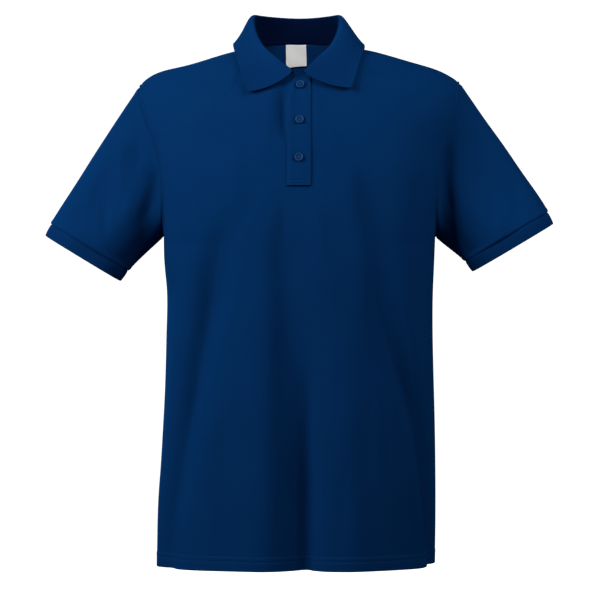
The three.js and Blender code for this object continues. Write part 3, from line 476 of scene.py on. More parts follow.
def shell(name, outer, thick, normals, uv, ring=False, keep=None, marks=None):
    """A closed piece of cloth: its outer face is a grid of points, its inner face lies one
    thickness behind, and its rims are rounded. marks are named values kept at each point."""
    inner = outer - normals * thick
    total = outer.shape[0] * outer.shape[1]
    grid = np.arange(total).reshape(outer.shape[:2])
    spots = np.arange(uv.shape[0] * uv.shape[1]).reshape(uv.shape[:2])
    if ring:
        grid = np.concatenate([grid, grid[:, :1]], 1)

    def quads_of(index):
        quads = np.stack([index[:-1, :-1], index[:-1, 1:], index[1:, 1:], index[1:, :-1]], -1)
        return quads.reshape(-1, 4) if keep is None else quads[keep]

    quads = quads_of(grid)
    spot_quads = quads_of(spots)
    starts, ends = quads.ravel(), np.roll(quads, -1, 1).ravel()
    rim = ~np.isin(ends * total + starts, starts * total + ends)
    a, b = starts[rim], ends[rim]
    spot_a, spot_b = spot_quads.ravel()[rim], np.roll(spot_quads, -1, 1).ravel()[rim]
    outer_flat, inner_flat = outer.reshape(-1, 3), inner.reshape(-1, 3)
    centres = np.repeat(outer_flat[quads].mean(1), 4, 0)[rim]
    push = np.zeros((total, 3))
    np.add.at(push, a, outer_flat[a] - centres)
    np.add.at(push, b, outer_flat[b] - centres)
    on_rim = np.unique(np.concatenate([a, b]))
    depth = np.linalg.norm(outer_flat - inner_flat, axis=-1, keepdims=True)
    middle = (outer_flat + inner_flat) / 2 + unit(push) * depth * 0.35
    points = np.concatenate([outer_flat, inner_flat, middle[on_rim]])
    source = np.concatenate([np.arange(total), np.arange(total), on_rim])
    mid_a = 2 * total + np.searchsorted(on_rim, a)
    mid_b = 2 * total + np.searchsorted(on_rim, b)
    faces = np.concatenate(
        [
            quads,
            quads[:, ::-1] + total,
            np.stack([b, a, mid_a, mid_b], -1),
            np.stack([mid_b, mid_a, a + total, b + total], -1),
        ]
    )
    rim_spots = np.stack([spot_b, spot_a, spot_a, spot_b], -1)
    corners = np.concatenate([spot_quads, spot_quads[:, ::-1], rim_spots, rim_spots])
    triangles = np.concatenate([faces[:, [0, 1, 2]], faces[:, [0, 2, 3]]])
    p, q, r = (points[triangles[:, k]] for k in range(3))
    if (p * np.cross(q, r)).sum() < 0:
        faces = faces[:, ::-1]
        corners = corners[:, ::-1]
    used, faces = np.unique(faces, return_inverse=True)
    mesh = bpy.data.meshes.new(name)
    mesh.from_pydata((points[used] * MM).tolist(), [], faces.reshape(-1, 4).tolist())
    mesh.uv_layers.new(name="cloth").data.foreach_set(
        "uv", (uv.reshape(-1, 2)[corners.ravel()] * MM).ravel()
    )
    for mark, values in (marks or {}).items():
        kept = mesh.attributes.new(mark, "FLOAT", "POINT")
        kept.data.foreach_set("value", values.ravel()[source[used]])
    mesh.shade_smooth()
    return linked(name, mesh)


def stands_for(piece, node):
    """Hides the node of the solids that a piece shows, and hangs the piece on the root body."""
    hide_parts(node)
    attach(piece, "root")


class Wire:
    """A node's output. Arithmetic on it adds Math nodes to the same tree."""

    def __init__(self, nodes, socket):
        self.nodes = nodes
        self.socket = socket

    def math(self, operation, *values):
        return self.nodes.add("ShaderNodeMath", {"operation": operation}, dict(enumerate(values)))

    def __add__(self, other):
        return self.math("ADD", self, other)

    def __mul__(self, other):
        return self.math("MULTIPLY", self, other)

    def __rsub__(self, other):
        return self.math("SUBTRACT", other, self)

    def __truediv__(self, other):
        return self.math("DIVIDE", self, other)

    def cosine(self):
        return self.math("COSINE", self)

    __radd__ = __add__
    __rmul__ = __mul__


class Nodes:
    """A node tree that is written from Python."""

    def __init__(self, tree):
        self.tree = tree

    def add(self, kind, settings=None, inputs=None, out=0):
        """One node: its type, its settings, the values or wires of its sockets, and the output
        that is wanted."""
        node = self.tree.nodes.new(kind)
        for name, value in (settings or {}).items():
            setattr(node, name, value)
        for key, value in (inputs or {}).items():
            if isinstance(value, Wire):
                self.tree.links.new(value.socket, node.inputs[key])
            else:
                node.inputs[key].default_value = value
        return Wire(self, node.outputs[out]) if node.outputs else None


def finish(name):
    """A new material with no nodes yet, and what adds nodes to it."""
    made = bpy.data.materials.new(name)
    made.use_nodes = True
    for node in list(made.node_tree.nodes):
        made.node_tree.nodes.remove(node)
    return made, Nodes(made.node_tree)


def mix_colour(nodes, share, first, second):
    """The first colour at share 0, the second at 1."""
    settings = {"data_type": "RGBA"}
    return nodes.add("ShaderNodeMix", settings, {0: share, 6: first, 7: second}, out=2)


def noise(nodes, scale, detail=2.0):
    """A soft cloudy variation through the piece."""
    place = nodes.add("ShaderNodeTexCoord", out="Object")
    settings = {"Vector": place, "Scale": scale, "Detail": detail}
    return nodes.add("ShaderNodeTexNoise", None, settings)


def coat(nodes, sockets):
    """The material's one shader, joined to its output."""
    shader = nodes.add("ShaderNodeBsdfPrincipled", None, sockets)
    nodes.add("ShaderNodeOutputMaterial", None, {"Surface": shader})


def knit_finish(name, dark, light, relief, depth, sheen):
    """A matt knit. Where a piece carries the painted-shade mark its colour goes over to a dark
    shade colour, painted shade that stands in for the shade in the collar's stand. Its colour
    varies a little from yarn to yarn and over the cloth. `relief` takes the nodes and the cloth's
    own coordinates and gives the height of its loops."""
    made, nodes = finish(name)
    spot = nodes.add("ShaderNodeUVMap", {"uv_map": "cloth"})
    x = nodes.add("ShaderNodeSeparateXYZ", None, {0: spot}, out="X")
    y = nodes.add("ShaderNodeSeparateXYZ", None, {0: spot}, out="Y")
    dye = noise(nodes, 14.0, 3.0)
    yarn = noise(nodes, 900.0)
    height = relief(nodes, x, y) + 0.5 * yarn
    # Painted shade: where a piece carries this mark its colour goes over to the dark shade colour.
    inside = nodes.add("ShaderNodeAttribute", {"attribute_name": "inside"}, out="Fac")
    tone = nodes.add(
        "ShaderNodeMath",
        {"operation": "ADD", "use_clamp": True},
        {0: dye * 0.5 + 0.3 * yarn, 1: 0.1},
    )
    bump = nodes.add(
        "ShaderNodeBump", None, {"Height": height, "Distance": depth * MM, "Strength": 0.6}
    )
    coat(
        nodes,
        {
            "Base Color": mix_colour(nodes, inside, mix_colour(nodes, tone, dark, light), PAINTED_STAND_SHADE),
            "Roughness": 0.92 - 0.12 * dye,
            "Normal": bump,
            "Specular IOR Level": 0.0,
            "Sheen Weight": sheen,
            "Sheen Roughness": 0.4,
            "Sheen Tint": KNIT_SHEEN,
        },
    )
    return made


PIQUE_CELL = 1.25
KNIT_SHEEN = (0.01, 0.35, 1.0, 1.0)
# Painted shade: the dark colour given to the collar's standing part in place of the shade there.
PAINTED_STAND_SHADE = (0.0008, 0.0036, 0.0180, 1)
NAVY_DARK = (0.0014, 0.0240, 0.100, 1)
NAVY_LIGHT = (0.0021, 0.0335, 0.130, 1)


def pique_relief(nodes, x, y):
    """Pique's small raised cells, in rows that are set off by half a cell."""
    turn = 2 * math.pi / (PIQUE_CELL * MM)
    return (x * turn).cosine() * (y * turn).cosine()


pique = knit_finish("navy pique knit", NAVY_DARK, NAVY_LIGHT, pique_relief, 0.22, 0.04)

front_panel = Panel(-1, FRONT_MIDDLE)
back_panel = Panel(1, BACK_MIDDLE)
HALF_GIRTH = 235
YOKE_RISE = 260
NO_SEAM = 99
SEAM_DIP = 1.4
SEAM_WIDTH = 2.2
SEAM_WELT = 1.1
ARMHOLE_STITCH_IN = 5.4


def hem_v(height):
    """The panel's v at a height above its lower edge."""
    return np.asarray(height) / (ARMPIT_Z - HEM_Z) * ARMPIT_V


HEM_STITCHES = [12.6, 19.4]
near_hem = [0, 0.6, 1.5, 3, 5, 7, 9, 10.5, 11.6, 12.6, 13.6, 15, 16.8, 18.4, 19.4, 20.4, 22]
body_v = np.concatenate(
    [
        hem_v(near_hem),
        np.linspace(hem_v(24), ARMPIT_V, 124)[:-1],
        np.linspace(ARMPIT_V, 0.985, 84),
        [0.9875, 0.99, 0.9925, 0.995, 0.9975, 1],
    ]
)
near_side = [0.9655, 0.9695, 0.973, 0.9765, 0.98, 0.984, 0.988, 0.992, 0.996, 1]
half_u = np.concatenate([np.linspace(0, 0.96, 90), near_side])
body_u = np.concatenate([-half_u[:0:-1], half_u])


def hem_relief(height):
    """The turned-up hem is thicker, and its two rows of stitches draw it in."""
    out = 0.4 * ease(height, HEM_TURN + 1.5, HEM_TURN - 1.5)
    for row in HEM_STITCHES:
        out = out - 0.45 * bell(height - row, 1.1)
    return out


def armhole_normal(angle, face, side, sleeve_normal):
    """The direction through the cloth at the armhole, shared by the panel and the sleeve. At
    the tip and the armpit the other panel shares it too."""
    v = 1 - angle / np.pi * (1 - ARMPIT_V)
    u = np.broadcast_to(np.asarray(side, float), v.shape)
    both = [front_panel.normal(u, v, front_panel.form), back_panel.normal(u, v, back_panel.form)]
    at_end = (ease(angle, 0.12, 0) + ease(angle, np.pi - 0.12, np.pi))[..., None] / 2
    own = np.where((np.asarray(face) < 0)[..., None], both[0], both[1])
    other = np.where((np.asarray(face) < 0)[..., None], both[1], both[0])
    return unit(own * (1 - at_end) + other * at_end + sleeve_normal)


def body_grid(panel, creases):
    """A panel's outer face with all its folds, its seams drawn in and its hem turned up."""
    u, v = np.meshgrid(body_u, body_v)
    points = panel.point(u, v)
    outward = panel.outward(u)
    normals = grid_normals(points, outward)
    from_side = (1 - np.abs(u)) * HALF_GIRTH
    from_top = (1 - v) * YOKE_RISE + NO_SEAM * (np.abs(u) < NECK_SHARE)
    from_seam = np.minimum(from_side, from_top)
    hang = ease(from_seam, 2, 26)
    out = crease_out(points, normals, panel.face, creases) * hang
    out += unevenness(points, 0.35) * hang
    height = v / hem_v(1)
    pucker = 0.18 * np.sin(points[..., 0] / 3.1 + 2 * np.sin(points[..., 0] / 17))
    out += hem_relief(height) + pucker * bell(height - sum(HEM_STITCHES) / 2, 6)
    out -= SEAM_DIP * bell(from_seam, SEAM_WIDTH)
    from_left = lengths(points, 1)
    in_from_armhole = np.minimum(from_left, from_left[:, -1:] - from_left)
    welt = SEAM_WELT * bell(in_from_armhole - ARMHOLE_STITCH_IN / 2, 1.5)
    welt -= 0.6 * bell(in_from_armhole - ARMHOLE_STITCH_IN, 1.1)
    out += welt * ease(v, ARMPIT_V - 0.01, ARMPIT_V + 0.02)
    points = points + normals * out[..., None]
    return points, grid_normals(points, outward)


def body_piece(name, node, points, normals, keep=None):
    """The front or the back as a piece of cloth, double at the hem."""
    uv_x = lengths(points, 1)
    uv_x = uv_x - uv_x[:, len(half_u) - 1 : len(half_u)]
    uv = np.stack([uv_x, lengths(points, 0)], -1)
    thick = lerp(CLOTH, 2.4, ease(lengths(points, 0), HEM_TURN + 1, HEM_TURN - 1))[..., None]
    made = shell(name, points, thick, normals, uv, keep=keep)
    made.data.materials.append(pique)
    stands_for(made, node)
    return made


SLIT_HALF_WIDTH = 8.5
SLIT_BOTTOM = -190
front_points, front_normals = body_grid(front_panel, FRONT_CREASES)
back_points, back_normals = body_grid(back_panel, BACK_CREASES)
middles = (front_points[1:, 1:] + front_points[:-1, :-1]) / 2
in_slit = (np.abs(middles[..., 0]) < SLIT_HALF_WIDTH) & (middles[..., 2] > SLIT_BOTTOM)
front_cloth = body_piece("front_cloth", "front", front_points, front_normals, ~in_slit)
back_cloth = body_piece("back_cloth", "back", back_points, back_normals)

# Sleeves: one piece of the same pique each, set into the armhole and closed by an underarm seam.
# The cloth falls from the shoulder tip, and folds in beside the body where the arm would lift it.
SLEEVES = {
    "right": {"side": -1, "outer": (341, -244), "inner": (234, -309)},
    "left": {"side": 1, "outer": (340, -228), "inner": (225.5, -296)},
}
SLEEVES["right"].update({"y": -10, "depth": 47, "swing": 0})
SLEEVES["left"].update({"y": -20, "depth": 48, "swing": -0.06})
SLEEVE_HALF_GIRTH = 170
SLEEVE_START = table(
    "turn out back down arrive",
    (0, 0.55, 0, 0.82, 0.7),
    (60, 0.48, 0.3, 0.78, 0.7),
    (120, 0.5, 0.4, 0.78, 0.5),
    (180, 0.72, 0, 0.7, 0.3),
    (240, 0.55, -0.25, 0.8, 0.5),
    (300, 0.52, -0.12, 0.8, 0.7),
    (360, 0.55, 0, 0.82, 0.7),
)
SLEEVE_FOLDS = table(
    "at width start full out",
    (62, 15, 0.1, 0.6, -4),
    (100, 14, 0.05, 0.5, 3),
    (140, 16, 0, 0.4, -5),
    (215, 18, 0.05, 0.5, -4),
    (270, 20, 0.1, 0.6, 3),
    (312, 16, 0.1, 0.6, -3),
)
SLEEVE_CREASES = {
    "right": table(
        CREASE,
        (-196, -160, -202, -215, -222, -268, 11, 12, -6.5),
        (-262, -205, -264, -240, -256, -275, 6, 8, -2.4),
        (-282, -190, -290, -225, -292, -258, 7, 7, 1.3),
        (-236, -120, -244, -165, -238, -215, 8, 9, 1.4),
        (-222, -110, -221, -160, -226, -215, 7, 8, -1.8),
        (-215, -155, -228, -205, -240, -250, 6, 7, 1.2),
    ),
    "left": table(
        CREASE,
        (200, -104, 198, -190, 209, -280, 12, 15, -10.5),
        (232, -130, 234, -195, 240, -252, 7, 8, 2.5),
        (262, -120, 262, -165, 254, -215, 9, 9, 1.2),
        (290, -180, 296, -215, 290, -250, 7, 8, -1.5),
        (252, -190, 262, -230, 260, -268, 7, 8, -1.6),
    ),
}
SLEEVE_BACK_CREASES = {
    "right": table(
        CREASE,
        (-214, -130, -216, -190, -228, -255, 8, 9, -5),
        (-238, -120, -250, -180, -252, -240, 8, 9, 1.8),
        (-268, -150, -278, -205, -280, -262, 8, 9, -2.2),
        (-245, -230, -262, -262, -272, -285, 7, 7, -1.6),
    ),
    "left": table(
        CREASE,
        (214, -128, 218, -185, 232, -250, 9, 8, -5.5),
        (240, -118, 250, -172, 256, -232, 9, 8, 1.8),
        (272, -150, 280, -196, 286, -248, 9, 8, -2.0),
        (244, -225, 258, -255, 270, -272, 7, 7, -1.7),
    ),
}
start_out = spline(SLEEVE_START, "turn", "out")
start_back = spline(SLEEVE_START, "turn", "back")
start_down = spline(SLEEVE_START, "turn", "down")
end_reach = spline(SLEEVE_START, "turn", "arrive")


def curve(start, end, leave, arrive, t):
    """A curve from start to end by t, with the directions that it leaves and arrives in."""
    t2, t3 = t**2, t**3
    first = start * (2 * t3 - 3 * t2 + 1) + leave * (t3 - 2 * t2 + t)
    return first + end * (3 * t2 - 2 * t3) + arrive * (t3 - t2)


class Sleeve:
    """A sleeve, as a surface of the turn round it, 0 at its top and 90 at its front, and of s
    from 0 at the armhole to 1 at the cuff's seam."""

    def __init__(self, side, outer, inner, y, depth, swing):
        outer = np.array([side * outer[0], 0, outer[1]])
        inner = np.array([side * inner[0], 0, inner[1]])
        self.side = side
        self.depth = depth
        self.up = (outer - inner) / 2
        self.middle = (outer + inner) / 2 + [0, y, 0]
        rise = outer - inner
        axis = unit(np.array([rise[2], swing * np.linalg.norm(rise), -abs(rise[0])]))
        self.axis = axis * [side * np.sign(axis[0]), 1, 1]

    def ring(self, angle, along, scale):
        """The ring of the cuff's seam, moved along the sleeve and drawn in."""
        boxed = (scale * (1 + 0.1 * np.sin(angle * 2) ** 2))[..., None]
        around = np.cos(angle)[..., None] * self.up + vec(0, -self.depth * np.sin(angle), 0)
        return self.middle + around * boxed + np.asarray(along)[..., None] * self.axis

    def form(self, turn, s):
        """The smooth form, before the folds, from the armhole to the cuff's seam."""
        turn = np.asarray(turn, float) % 360
        angle = np.radians(turn)
        back = turn > 180
        face = np.where(back, 1, -1)
        start = armhole(np.where(back, 2 * np.pi - angle, angle), face, self.side)
        end = self.ring(angle, np.zeros_like(angle), np.ones_like(angle))
        reach = np.linalg.norm(end - start, axis=-1)[..., None]
        leave = vec(self.side * start_out(turn), start_back(turn), -start_down(turn)) * reach
        arrive = self.axis * reach * end_reach(turn)[..., None]
        return curve(start, end, leave, arrive, np.asarray(s, float)[..., None])

    def outward(self, turn):
        """Roughly away from the middle of the arm."""
        angle = np.radians(turn)
        up = np.array([-self.axis[2] * self.side, 0, self.axis[0] * self.side])
        return np.cos(angle)[..., None] * up + vec(0, -np.sin(angle), 0)

    def normal(self, turn, s):
        ds = self.form(turn, np.minimum(s + 0.01, 1)) - self.form(turn, np.maximum(s - 0.01, 0))
        da = self.form(turn + 0.5, s) - self.form(turn - 0.5, s)
        normal = unit(np.cross(da, ds))
        return normal * np.sign((normal * self.outward(turn)).sum(-1, keepdims=True))

    def point(self, turn, s):
        """The form with its long folds."""
        out = 0
        for at, width, start, full, height in zip(*SLEEVE_FOLDS.values()):
            off = (turn - at + 540) % 360 - 180
            strength = ease(s, start, full) * (1 - ease(s, 0.8, 1) * 0.7)
            out = out + height * strength * bell(off, width)
        return self.form(turn, s) + self.normal(turn, s) * out[..., None]


sleeve_turn = np.arange(0, 360, 360 / 176)
sleeve_s = np.concatenate(
    [[0, 0.004, 0.009, 0.014, 0.02, 0.03], np.linspace(0.045, 0.972, 74), [0.982, 0.99, 0.995, 1]]
)
sleeves = {name: Sleeve(**sizes) for name, sizes in SLEEVES.items()}


def sleeve_grid(name):
    """A sleeve's outer face with its folds, its seams drawn in and a welt at the cuff."""
    sleeve = sleeves[name]
    turn, s = np.meshgrid(sleeve_turn, sleeve_s)
    points = sleeve.point(turn, s)
    outward = sleeve.outward(turn)
    normals = grid_normals(points, outward, ring=True)
    back = turn > 180
    angle = np.radians(np.where(back, 360 - turn, turn))
    shared = armhole_normal(angle[0], np.where(back, 1, -1)[0], sleeve.side, normals[0])
    near = ease(s, 0.05, 0)[..., None]
    through = unit(normals * (1 - near) + shared[None] * near)
    from_start = lengths(points, 0)
    to_cuff = from_start[-1] - from_start
    edge = np.minimum(from_start, to_cuff)
    hang = ease(edge, 1, 13)
    out = crease_out(points, normals, -1, SLEEVE_CREASES[name]) * hang
    out += crease_out(points, normals, 1, SLEEVE_BACK_CREASES[name]) * hang
    out += unevenness(points, 0.3) * hang
    out -= SEAM_DIP * bell(from_start, SEAM_WIDTH)
    out += 0.5 * bell(to_cuff - 3, 3) - 0.9 * bell(to_cuff, 1.4)
    from_underarm = np.abs(turn - 180) / 180 * SLEEVE_HALF_GIRTH
    out -= 0.7 * bell(from_underarm, 1.6)
    points = points + through * out[..., None]
    return points, grid_normals(points, outward, ring=True)


def ring_uv(points):
    """How far each point lies round and along a tube, on the cloth itself."""
    closed = np.concatenate([points, points[:, :1]], 1)
    return np.stack([lengths(closed, 1), lengths(closed, 0)], -1)


for name in SLEEVES:
    points, normals = sleeve_grid(name)
    made = shell("sleeve_cloth_" + name, points, CLOTH, normals, ring_uv(points), ring=True)
    made.data.materials.append(pique)
    stands_for(made, "sleeve_" + name)

# Cuffs: a flat-knitted band of narrow ribs, joined to each sleeve's end. It is a little tighter
# than the sleeve and draws its end in.
CUFF_WIDTH = 17.5
CUFF_NARROWER = 1.6
CUFF_TAPER = 0.985
RIB_CLOTH = 1.7
CUFF_RIB_PITCH = 1.9
CUFF_RIB_DEPTH = 0.22


def new_tree(name, sizes):
    """A tree that takes a mesh, the named sizes and a yarn, with a wire from each of them."""
    tree = bpy.data.node_groups.new(name, "GeometryNodeTree")
    inputs = [("Geometry", "Geometry"), *[(size, "Float") for size in sizes], ("Yarn", "Material")]
    for title, kind in inputs:
        tree.interface.new_socket(title, in_out="INPUT", socket_type="NodeSocket" + kind)
    tree.interface.new_socket("Geometry", in_out="OUTPUT", socket_type="NodeSocketGeometry")
    nodes = Nodes(tree)
    given = tree.nodes.new("NodeGroupInput")
    return tree, nodes, [Wire(nodes, given.outputs[k]) for k in range(len(inputs))]


def end_tree(nodes, grown, yarn):
    """Makes what has grown real and gives it its yarn."""
    real = nodes.add("GeometryNodeRealizeInstances", None, {0: grown})
    dressed = nodes.add("GeometryNodeSetMaterial", None, {"Geometry": real, "Material": yarn})
    nodes.add("NodeGroupOutput", None, {0: dressed})


def rib_tree():
    """Raises ribs on a knit, across the values marked `rib` at its points."""
    tree, nodes, (knit, pitch, depth, yarn) = new_tree("knitted ribs", ["Pitch", "Depth"])
    rib = nodes.add("GeometryNodeInputNamedAttribute", {"data_type": "FLOAT"}, {"Name": "rib"})
    relief = nodes.add("GeometryNodeInputNamedAttribute", {"data_type": "FLOAT"}, {"Name": "relief"})
    height = (rib * (2 * math.pi) / pitch).cosine() * relief * depth
    normal = nodes.add("GeometryNodeInputNormal")
    offset = nodes.add(
        "ShaderNodeVectorMath", {"operation": "SCALE"}, {0: normal, "Scale": height}
    )
    raised = nodes.add("GeometryNodeSetPosition", None, {"Geometry": knit, "Offset": offset})
    end_tree(nodes, raised, yarn)
    return tree


def evaluated_mesh(piece):
    """A piece with its modifiers applied, as a plain mesh."""
    bpy.context.view_layer.update()
    evaluated = piece.evaluated_get(bpy.context.evaluated_depsgraph_get())
    return bpy.data.meshes.new_from_object(evaluated)


def grow(piece, tree, **values):
    """Runs a tree on a piece with its named inputs set, and keeps the result as a plain mesh."""
    modifier = piece.modifiers.new("grow", "NODES")
    modifier.node_group = tree
    for item in tree.interface.items_tree:
        if item.in_out == "INPUT" and item.name in values:
            modifier[item.identifier] = values[item.name]
    mesh = evaluated_mesh(piece)
    piece.modifiers.remove(modifier)
    piece.data = mesh
    mesh.shade_smooth()


ribs = rib_tree()


def rib_relief(nodes, x, y):
    """The loops along each rib of the flat knit."""
    return (y * (2 * math.pi / (1.1 * MM))).cosine() * 0.5


RIB_DARK = (0.0014, 0.0210, 0.088, 1)
RIB_LIGHT = (0.0021, 0.0290, 0.115, 1)
rib_knit = knit_finish("navy rib knit", RIB_DARK, RIB_LIGHT, rib_relief, 0.12, 0.04)

for name, sleeve in sleeves.items():
    around = np.arange(0, 360, 360 / 704)
    steps = np.array([0.1, 0.5, 1.0, 2, 4, 7, 10, 13, 15, 16.3, 17.1, 17.5])
    turn, along = np.meshgrid(around, steps)
    angle = np.radians(turn)
    narrower = 1 - CUFF_NARROWER / np.linalg.norm(sleeve.up)
    puffed = 1 + 0.008 * np.sin(np.pi * along / CUFF_WIDTH)
    points = sleeve.ring(angle, along, narrower * lerp(1, CUFF_TAPER, along / CUFF_WIDTH) * puffed)
    outward = sleeve.outward(turn)
    normals = grid_normals(points, outward, ring=True)
    out = unevenness(points, 0.25) - 0.8 * bell(along, 1.3)
    points = points + normals * out[..., None]
    normals = grid_normals(points, outward, ring=True)
    round_length = lengths(np.concatenate([points, points[:, :1]], 1), 1)[5, -1]
    rib_count = round(round_length / CUFF_RIB_PITCH)
    marks = {
        "rib": turn / 360 * rib_count * CUFF_RIB_PITCH * MM,
        "relief": ease(along, 0.3, 1.5) * ease(along, CUFF_WIDTH, CUFF_WIDTH - 1.5),
    }
    made = shell(
        "cuff_knit_" + name, points, RIB_CLOTH, normals, ring_uv(points), ring=True, marks=marks
    )
    grow(made, ribs, Pitch=CUFF_RIB_PITCH * MM, Depth=CUFF_RIB_DEPTH * MM, Yarn=rib_knit)
    stands_for(made, "cuff_" + name)

# Collar: one flat-knitted piece with fine ribs. It stands up from the neck seam, rolls over and
# falls back outside, with a point at each front end.
COLLAR = table(
    "turn fold_x fold_y fold_z edge_x edge_y edge_z",
    (0, 0, 58, 42, 0, 84, -6),
    (30, 31.5, 51, 43, 44, 74, -5),
    (60, 53, 29, 43.5, 75, 45, -1),
    (90, 60.5, 0, 38, 89, 3, 2),
    (115, 57.5, -25, 17, 87, -30, -11),
    (135, 47, -46, -4, 82, -52, -27),
    (155, 29.5, -63.5, -21.5, 76, -70, -46),
    (172, 9, -79, -41.4, 69, -84, -65),
)
COLLAR_END = 172
COLLAR_LEAN = {"fold": -4, "edge": -0.5}
COLLAR_TIP = {"right": (0, 0, -4), "left": (1, 0, 1.3)}
COLLAR_SAG_FROM = 140
COLLAR_SAG = np.array([0, -2.3, -6.5])
COLLAR_FLARE = 0.3
COLLAR_SEAM_IN = 1.6
FOLD_RADIUS = 3
COLLAR_RIB_PITCH = 2.1
COLLAR_RIB_DEPTH = 0.13
collar_curves = {
    key: spline(COLLAR, "turn", key, -1 if key.endswith("x") else 1) for key in COLLAR
}


def collar_line(name, turn):
    """The collar's fold or its free edge, by the turn round the neck."""
    size = np.abs(turn)
    side = np.where(turn < 0, -1, 1)
    lean = COLLAR_LEAN[name] * ease(size, 0, 60) * (1 - ease(size, 150, 180) * 0.7)
    x, y, z = (collar_curves[name + "_" + axis](size) for axis in "xyz")
    line = vec(side * x + lean, y, z)
    if name == "edge":
        tips = np.where((side < 0)[..., None], COLLAR_TIP["right"], COLLAR_TIP["left"])
        line = line + tips * ease(size, COLLAR_SAG_FROM, COLLAR_END)[..., None]
    return line


def collar_point(turn, share):
    """Share is 0 at the neck seam, 1 at the fold and 2 at the free edge."""
    angle = np.radians(turn)
    away = vec(np.sin(angle), np.cos(angle), 0)
    seam = neck_seam(turn) - away * COLLAR_SEAM_IN
    fold = collar_line("fold", turn)
    edge = collar_line("edge", turn)
    lying = edge - fold
    rise = fold - seam
    length = np.linalg.norm(rise, axis=-1)[..., None]
    roll = unit(lerp(unit(lying * [1, 1, 0]), away, 0.35))
    roll = roll * np.sqrt(4 * FOLD_RADIUS * np.maximum(length, 12))
    arrive = lying + away * np.linalg.norm(lying, axis=-1)[..., None] * COLLAR_FLARE
    standing = (share <= 1)[..., None]
    t = np.where(standing, share[..., None], share[..., None] - 1)
    start, end = np.where(standing, seam, fold), np.where(standing, fold, edge)
    first, last = np.where(standing, rise, roll), np.where(standing, roll, arrive)
    near_point = ease(np.abs(turn), COLLAR_SAG_FROM, COLLAR_END) * (share > 1)
    sag = 4 * t * (1 - t) * near_point[..., None] * COLLAR_SAG
    return curve(start, end, first, last, t) + sag


collar_share = np.concatenate(
    [
        [0, 0.02, 0.05, 0.1, 0.2, 0.35, 0.5, 0.62, 0.72, 0.8, 0.86, 0.91, 0.95, 0.98, 1],
        [1.02, 1.045, 1.07, 1.1, 1.14, 1.19, 1.26, 1.35, 1.45, 1.55, 1.65, 1.75, 1.84, 1.9],
        [1.94, 1.965, 1.985, 2],
    ]
)
collar_turn = np.linspace(-COLLAR_END, COLLAR_END, 721)
turn, share = np.meshgrid(collar_turn, collar_share)
collar_points = collar_point(turn, share)
step = 0.01
du = collar_point(np.minimum(turn + 0.5, COLLAR_END), share)
du -= collar_point(np.maximum(turn - 0.5, -COLLAR_END), share)
dv = collar_point(turn, np.minimum(share + step, 2))
dv -= collar_point(turn, np.maximum(share - step, 0))
collar_normals = unit(np.cross(dv, du))
falling = ease(share, 1.1, 1.6)
wave = 0.9 * np.sin(np.radians(turn) * 5 + 0.6) + 0.5 * np.sin(np.radians(turn) * 11 + 2)
out = (wave * ease(share, 1.5, 2) + unevenness(collar_points, 0.35)) * falling
collar_points = collar_points + collar_normals * out[..., None]
to_end = (COLLAR_END - np.abs(turn)) * 1.1
to_edge = (2 - share) * 45
collar_marks = {
    "rib": lengths(neck_seam(collar_turn)[None], 1).repeat(len(collar_share), 0) * MM,
    "relief": ease(to_end, 0.5, 2.5) * ease(to_edge, 2.5, 4.5) * ease(share, 0.02, 0.1),
    # Painted shade: the standing part of the collar, from the neck seam to near the fold, is marked.
    "inside": ease(share, 0.98, 0.84),
}
collar_uv = np.stack([lengths(collar_points, 1), lengths(collar_points, 0)], -1)
collar_knit = shell(
    "collar_knit", collar_points, RIB_CLOTH, collar_normals, collar_uv, marks=collar_marks
)
grow(collar_knit, ribs, Pitch=COLLAR_RIB_PITCH * MM, Depth=COLLAR_RIB_DEPTH * MM, Yarn=rib_knit)
stands_for(collar_knit, "collar")

# Placket: two bands of pique, one on each side of the front's slit. The top band is closed at
# its foot by a sewn box, and its free edge is folded and stands a little clear of the front.
PLACKET_LEFT = 15.5
PLACKET_BOTTOM = -196
PLACKET_BELOW_NECK = 2
PLACKET_CLEAR = 0.4
PLACKET_THICK = 2.2
FRONT_WALL = 1.6
UNDER_HALF_WIDTH = 14
UNDER_THICK = 1.4
FREE_EDGE_X = -16.5
FREE_EDGE_AT_NECK = -7.5
FREE_EDGE_FROM = -110
FREE_EDGE_TO = -45
EDGE_LIFT = {"out": 1.4, "wide": 12, "low": (-165, -95), "high": (-45, -75)}
BOX_STITCHES = [-190.4, -194.6]
FREE_EDGE_STITCH_IN = 2.8
LEFT_STITCH_IN = 2.4
BUTTONHOLE = 9
BUTTONHOLES = [(3, -108), (2, -159)]
BUTTON_DIMPLE = {"deep": 1.3, "wide": 7.2}


def free_edge(z):
    """The top band's free edge, which bends towards the middle below the collar."""
    t = np.clip((z - FREE_EDGE_FROM) / (FREE_EDGE_TO - FREE_EDGE_FROM), 0, 1)
    return lerp(FREE_EDGE_X, FREE_EDGE_AT_NECK, t**3)


def band_top(x):
    """The height where a band ends, just under the neck seam."""
    turn = 180 - np.degrees(np.arcsin(np.abs(x) / NECK_HALF_WIDTH))
    return neck_height(turn) - PLACKET_BELOW_NECK


def band(right, left, bottom, low, thick, relief):
    """A band on the front: its outer face, with its edges rounded off, and its normals."""
    near_edge = np.array([0, 0.012, 0.03, 0.06])
    shares = np.concatenate([near_edge, np.linspace(0.09, 0.91, 42), 1 - near_edge[::-1]])
    rows = np.concatenate([[0, 0.002, 0.005, 0.01], np.linspace(0.015, 1, 170)])
    across_band, up = np.meshgrid(shares, rows)
    x = lerp(right(lerp(bottom, FREE_EDGE_TO, up)), left, across_band)
    z = lerp(bottom, band_top(x), up)
    points, normals = front_panel.at(x, z)
    from_edge = np.minimum(x - right(z), left - x)
    out = low + thick * (0.55 + 0.45 * ease(from_edge, 0, 1.6)) + relief(x, z)
    return points + normals * out[..., None], normals, x, z


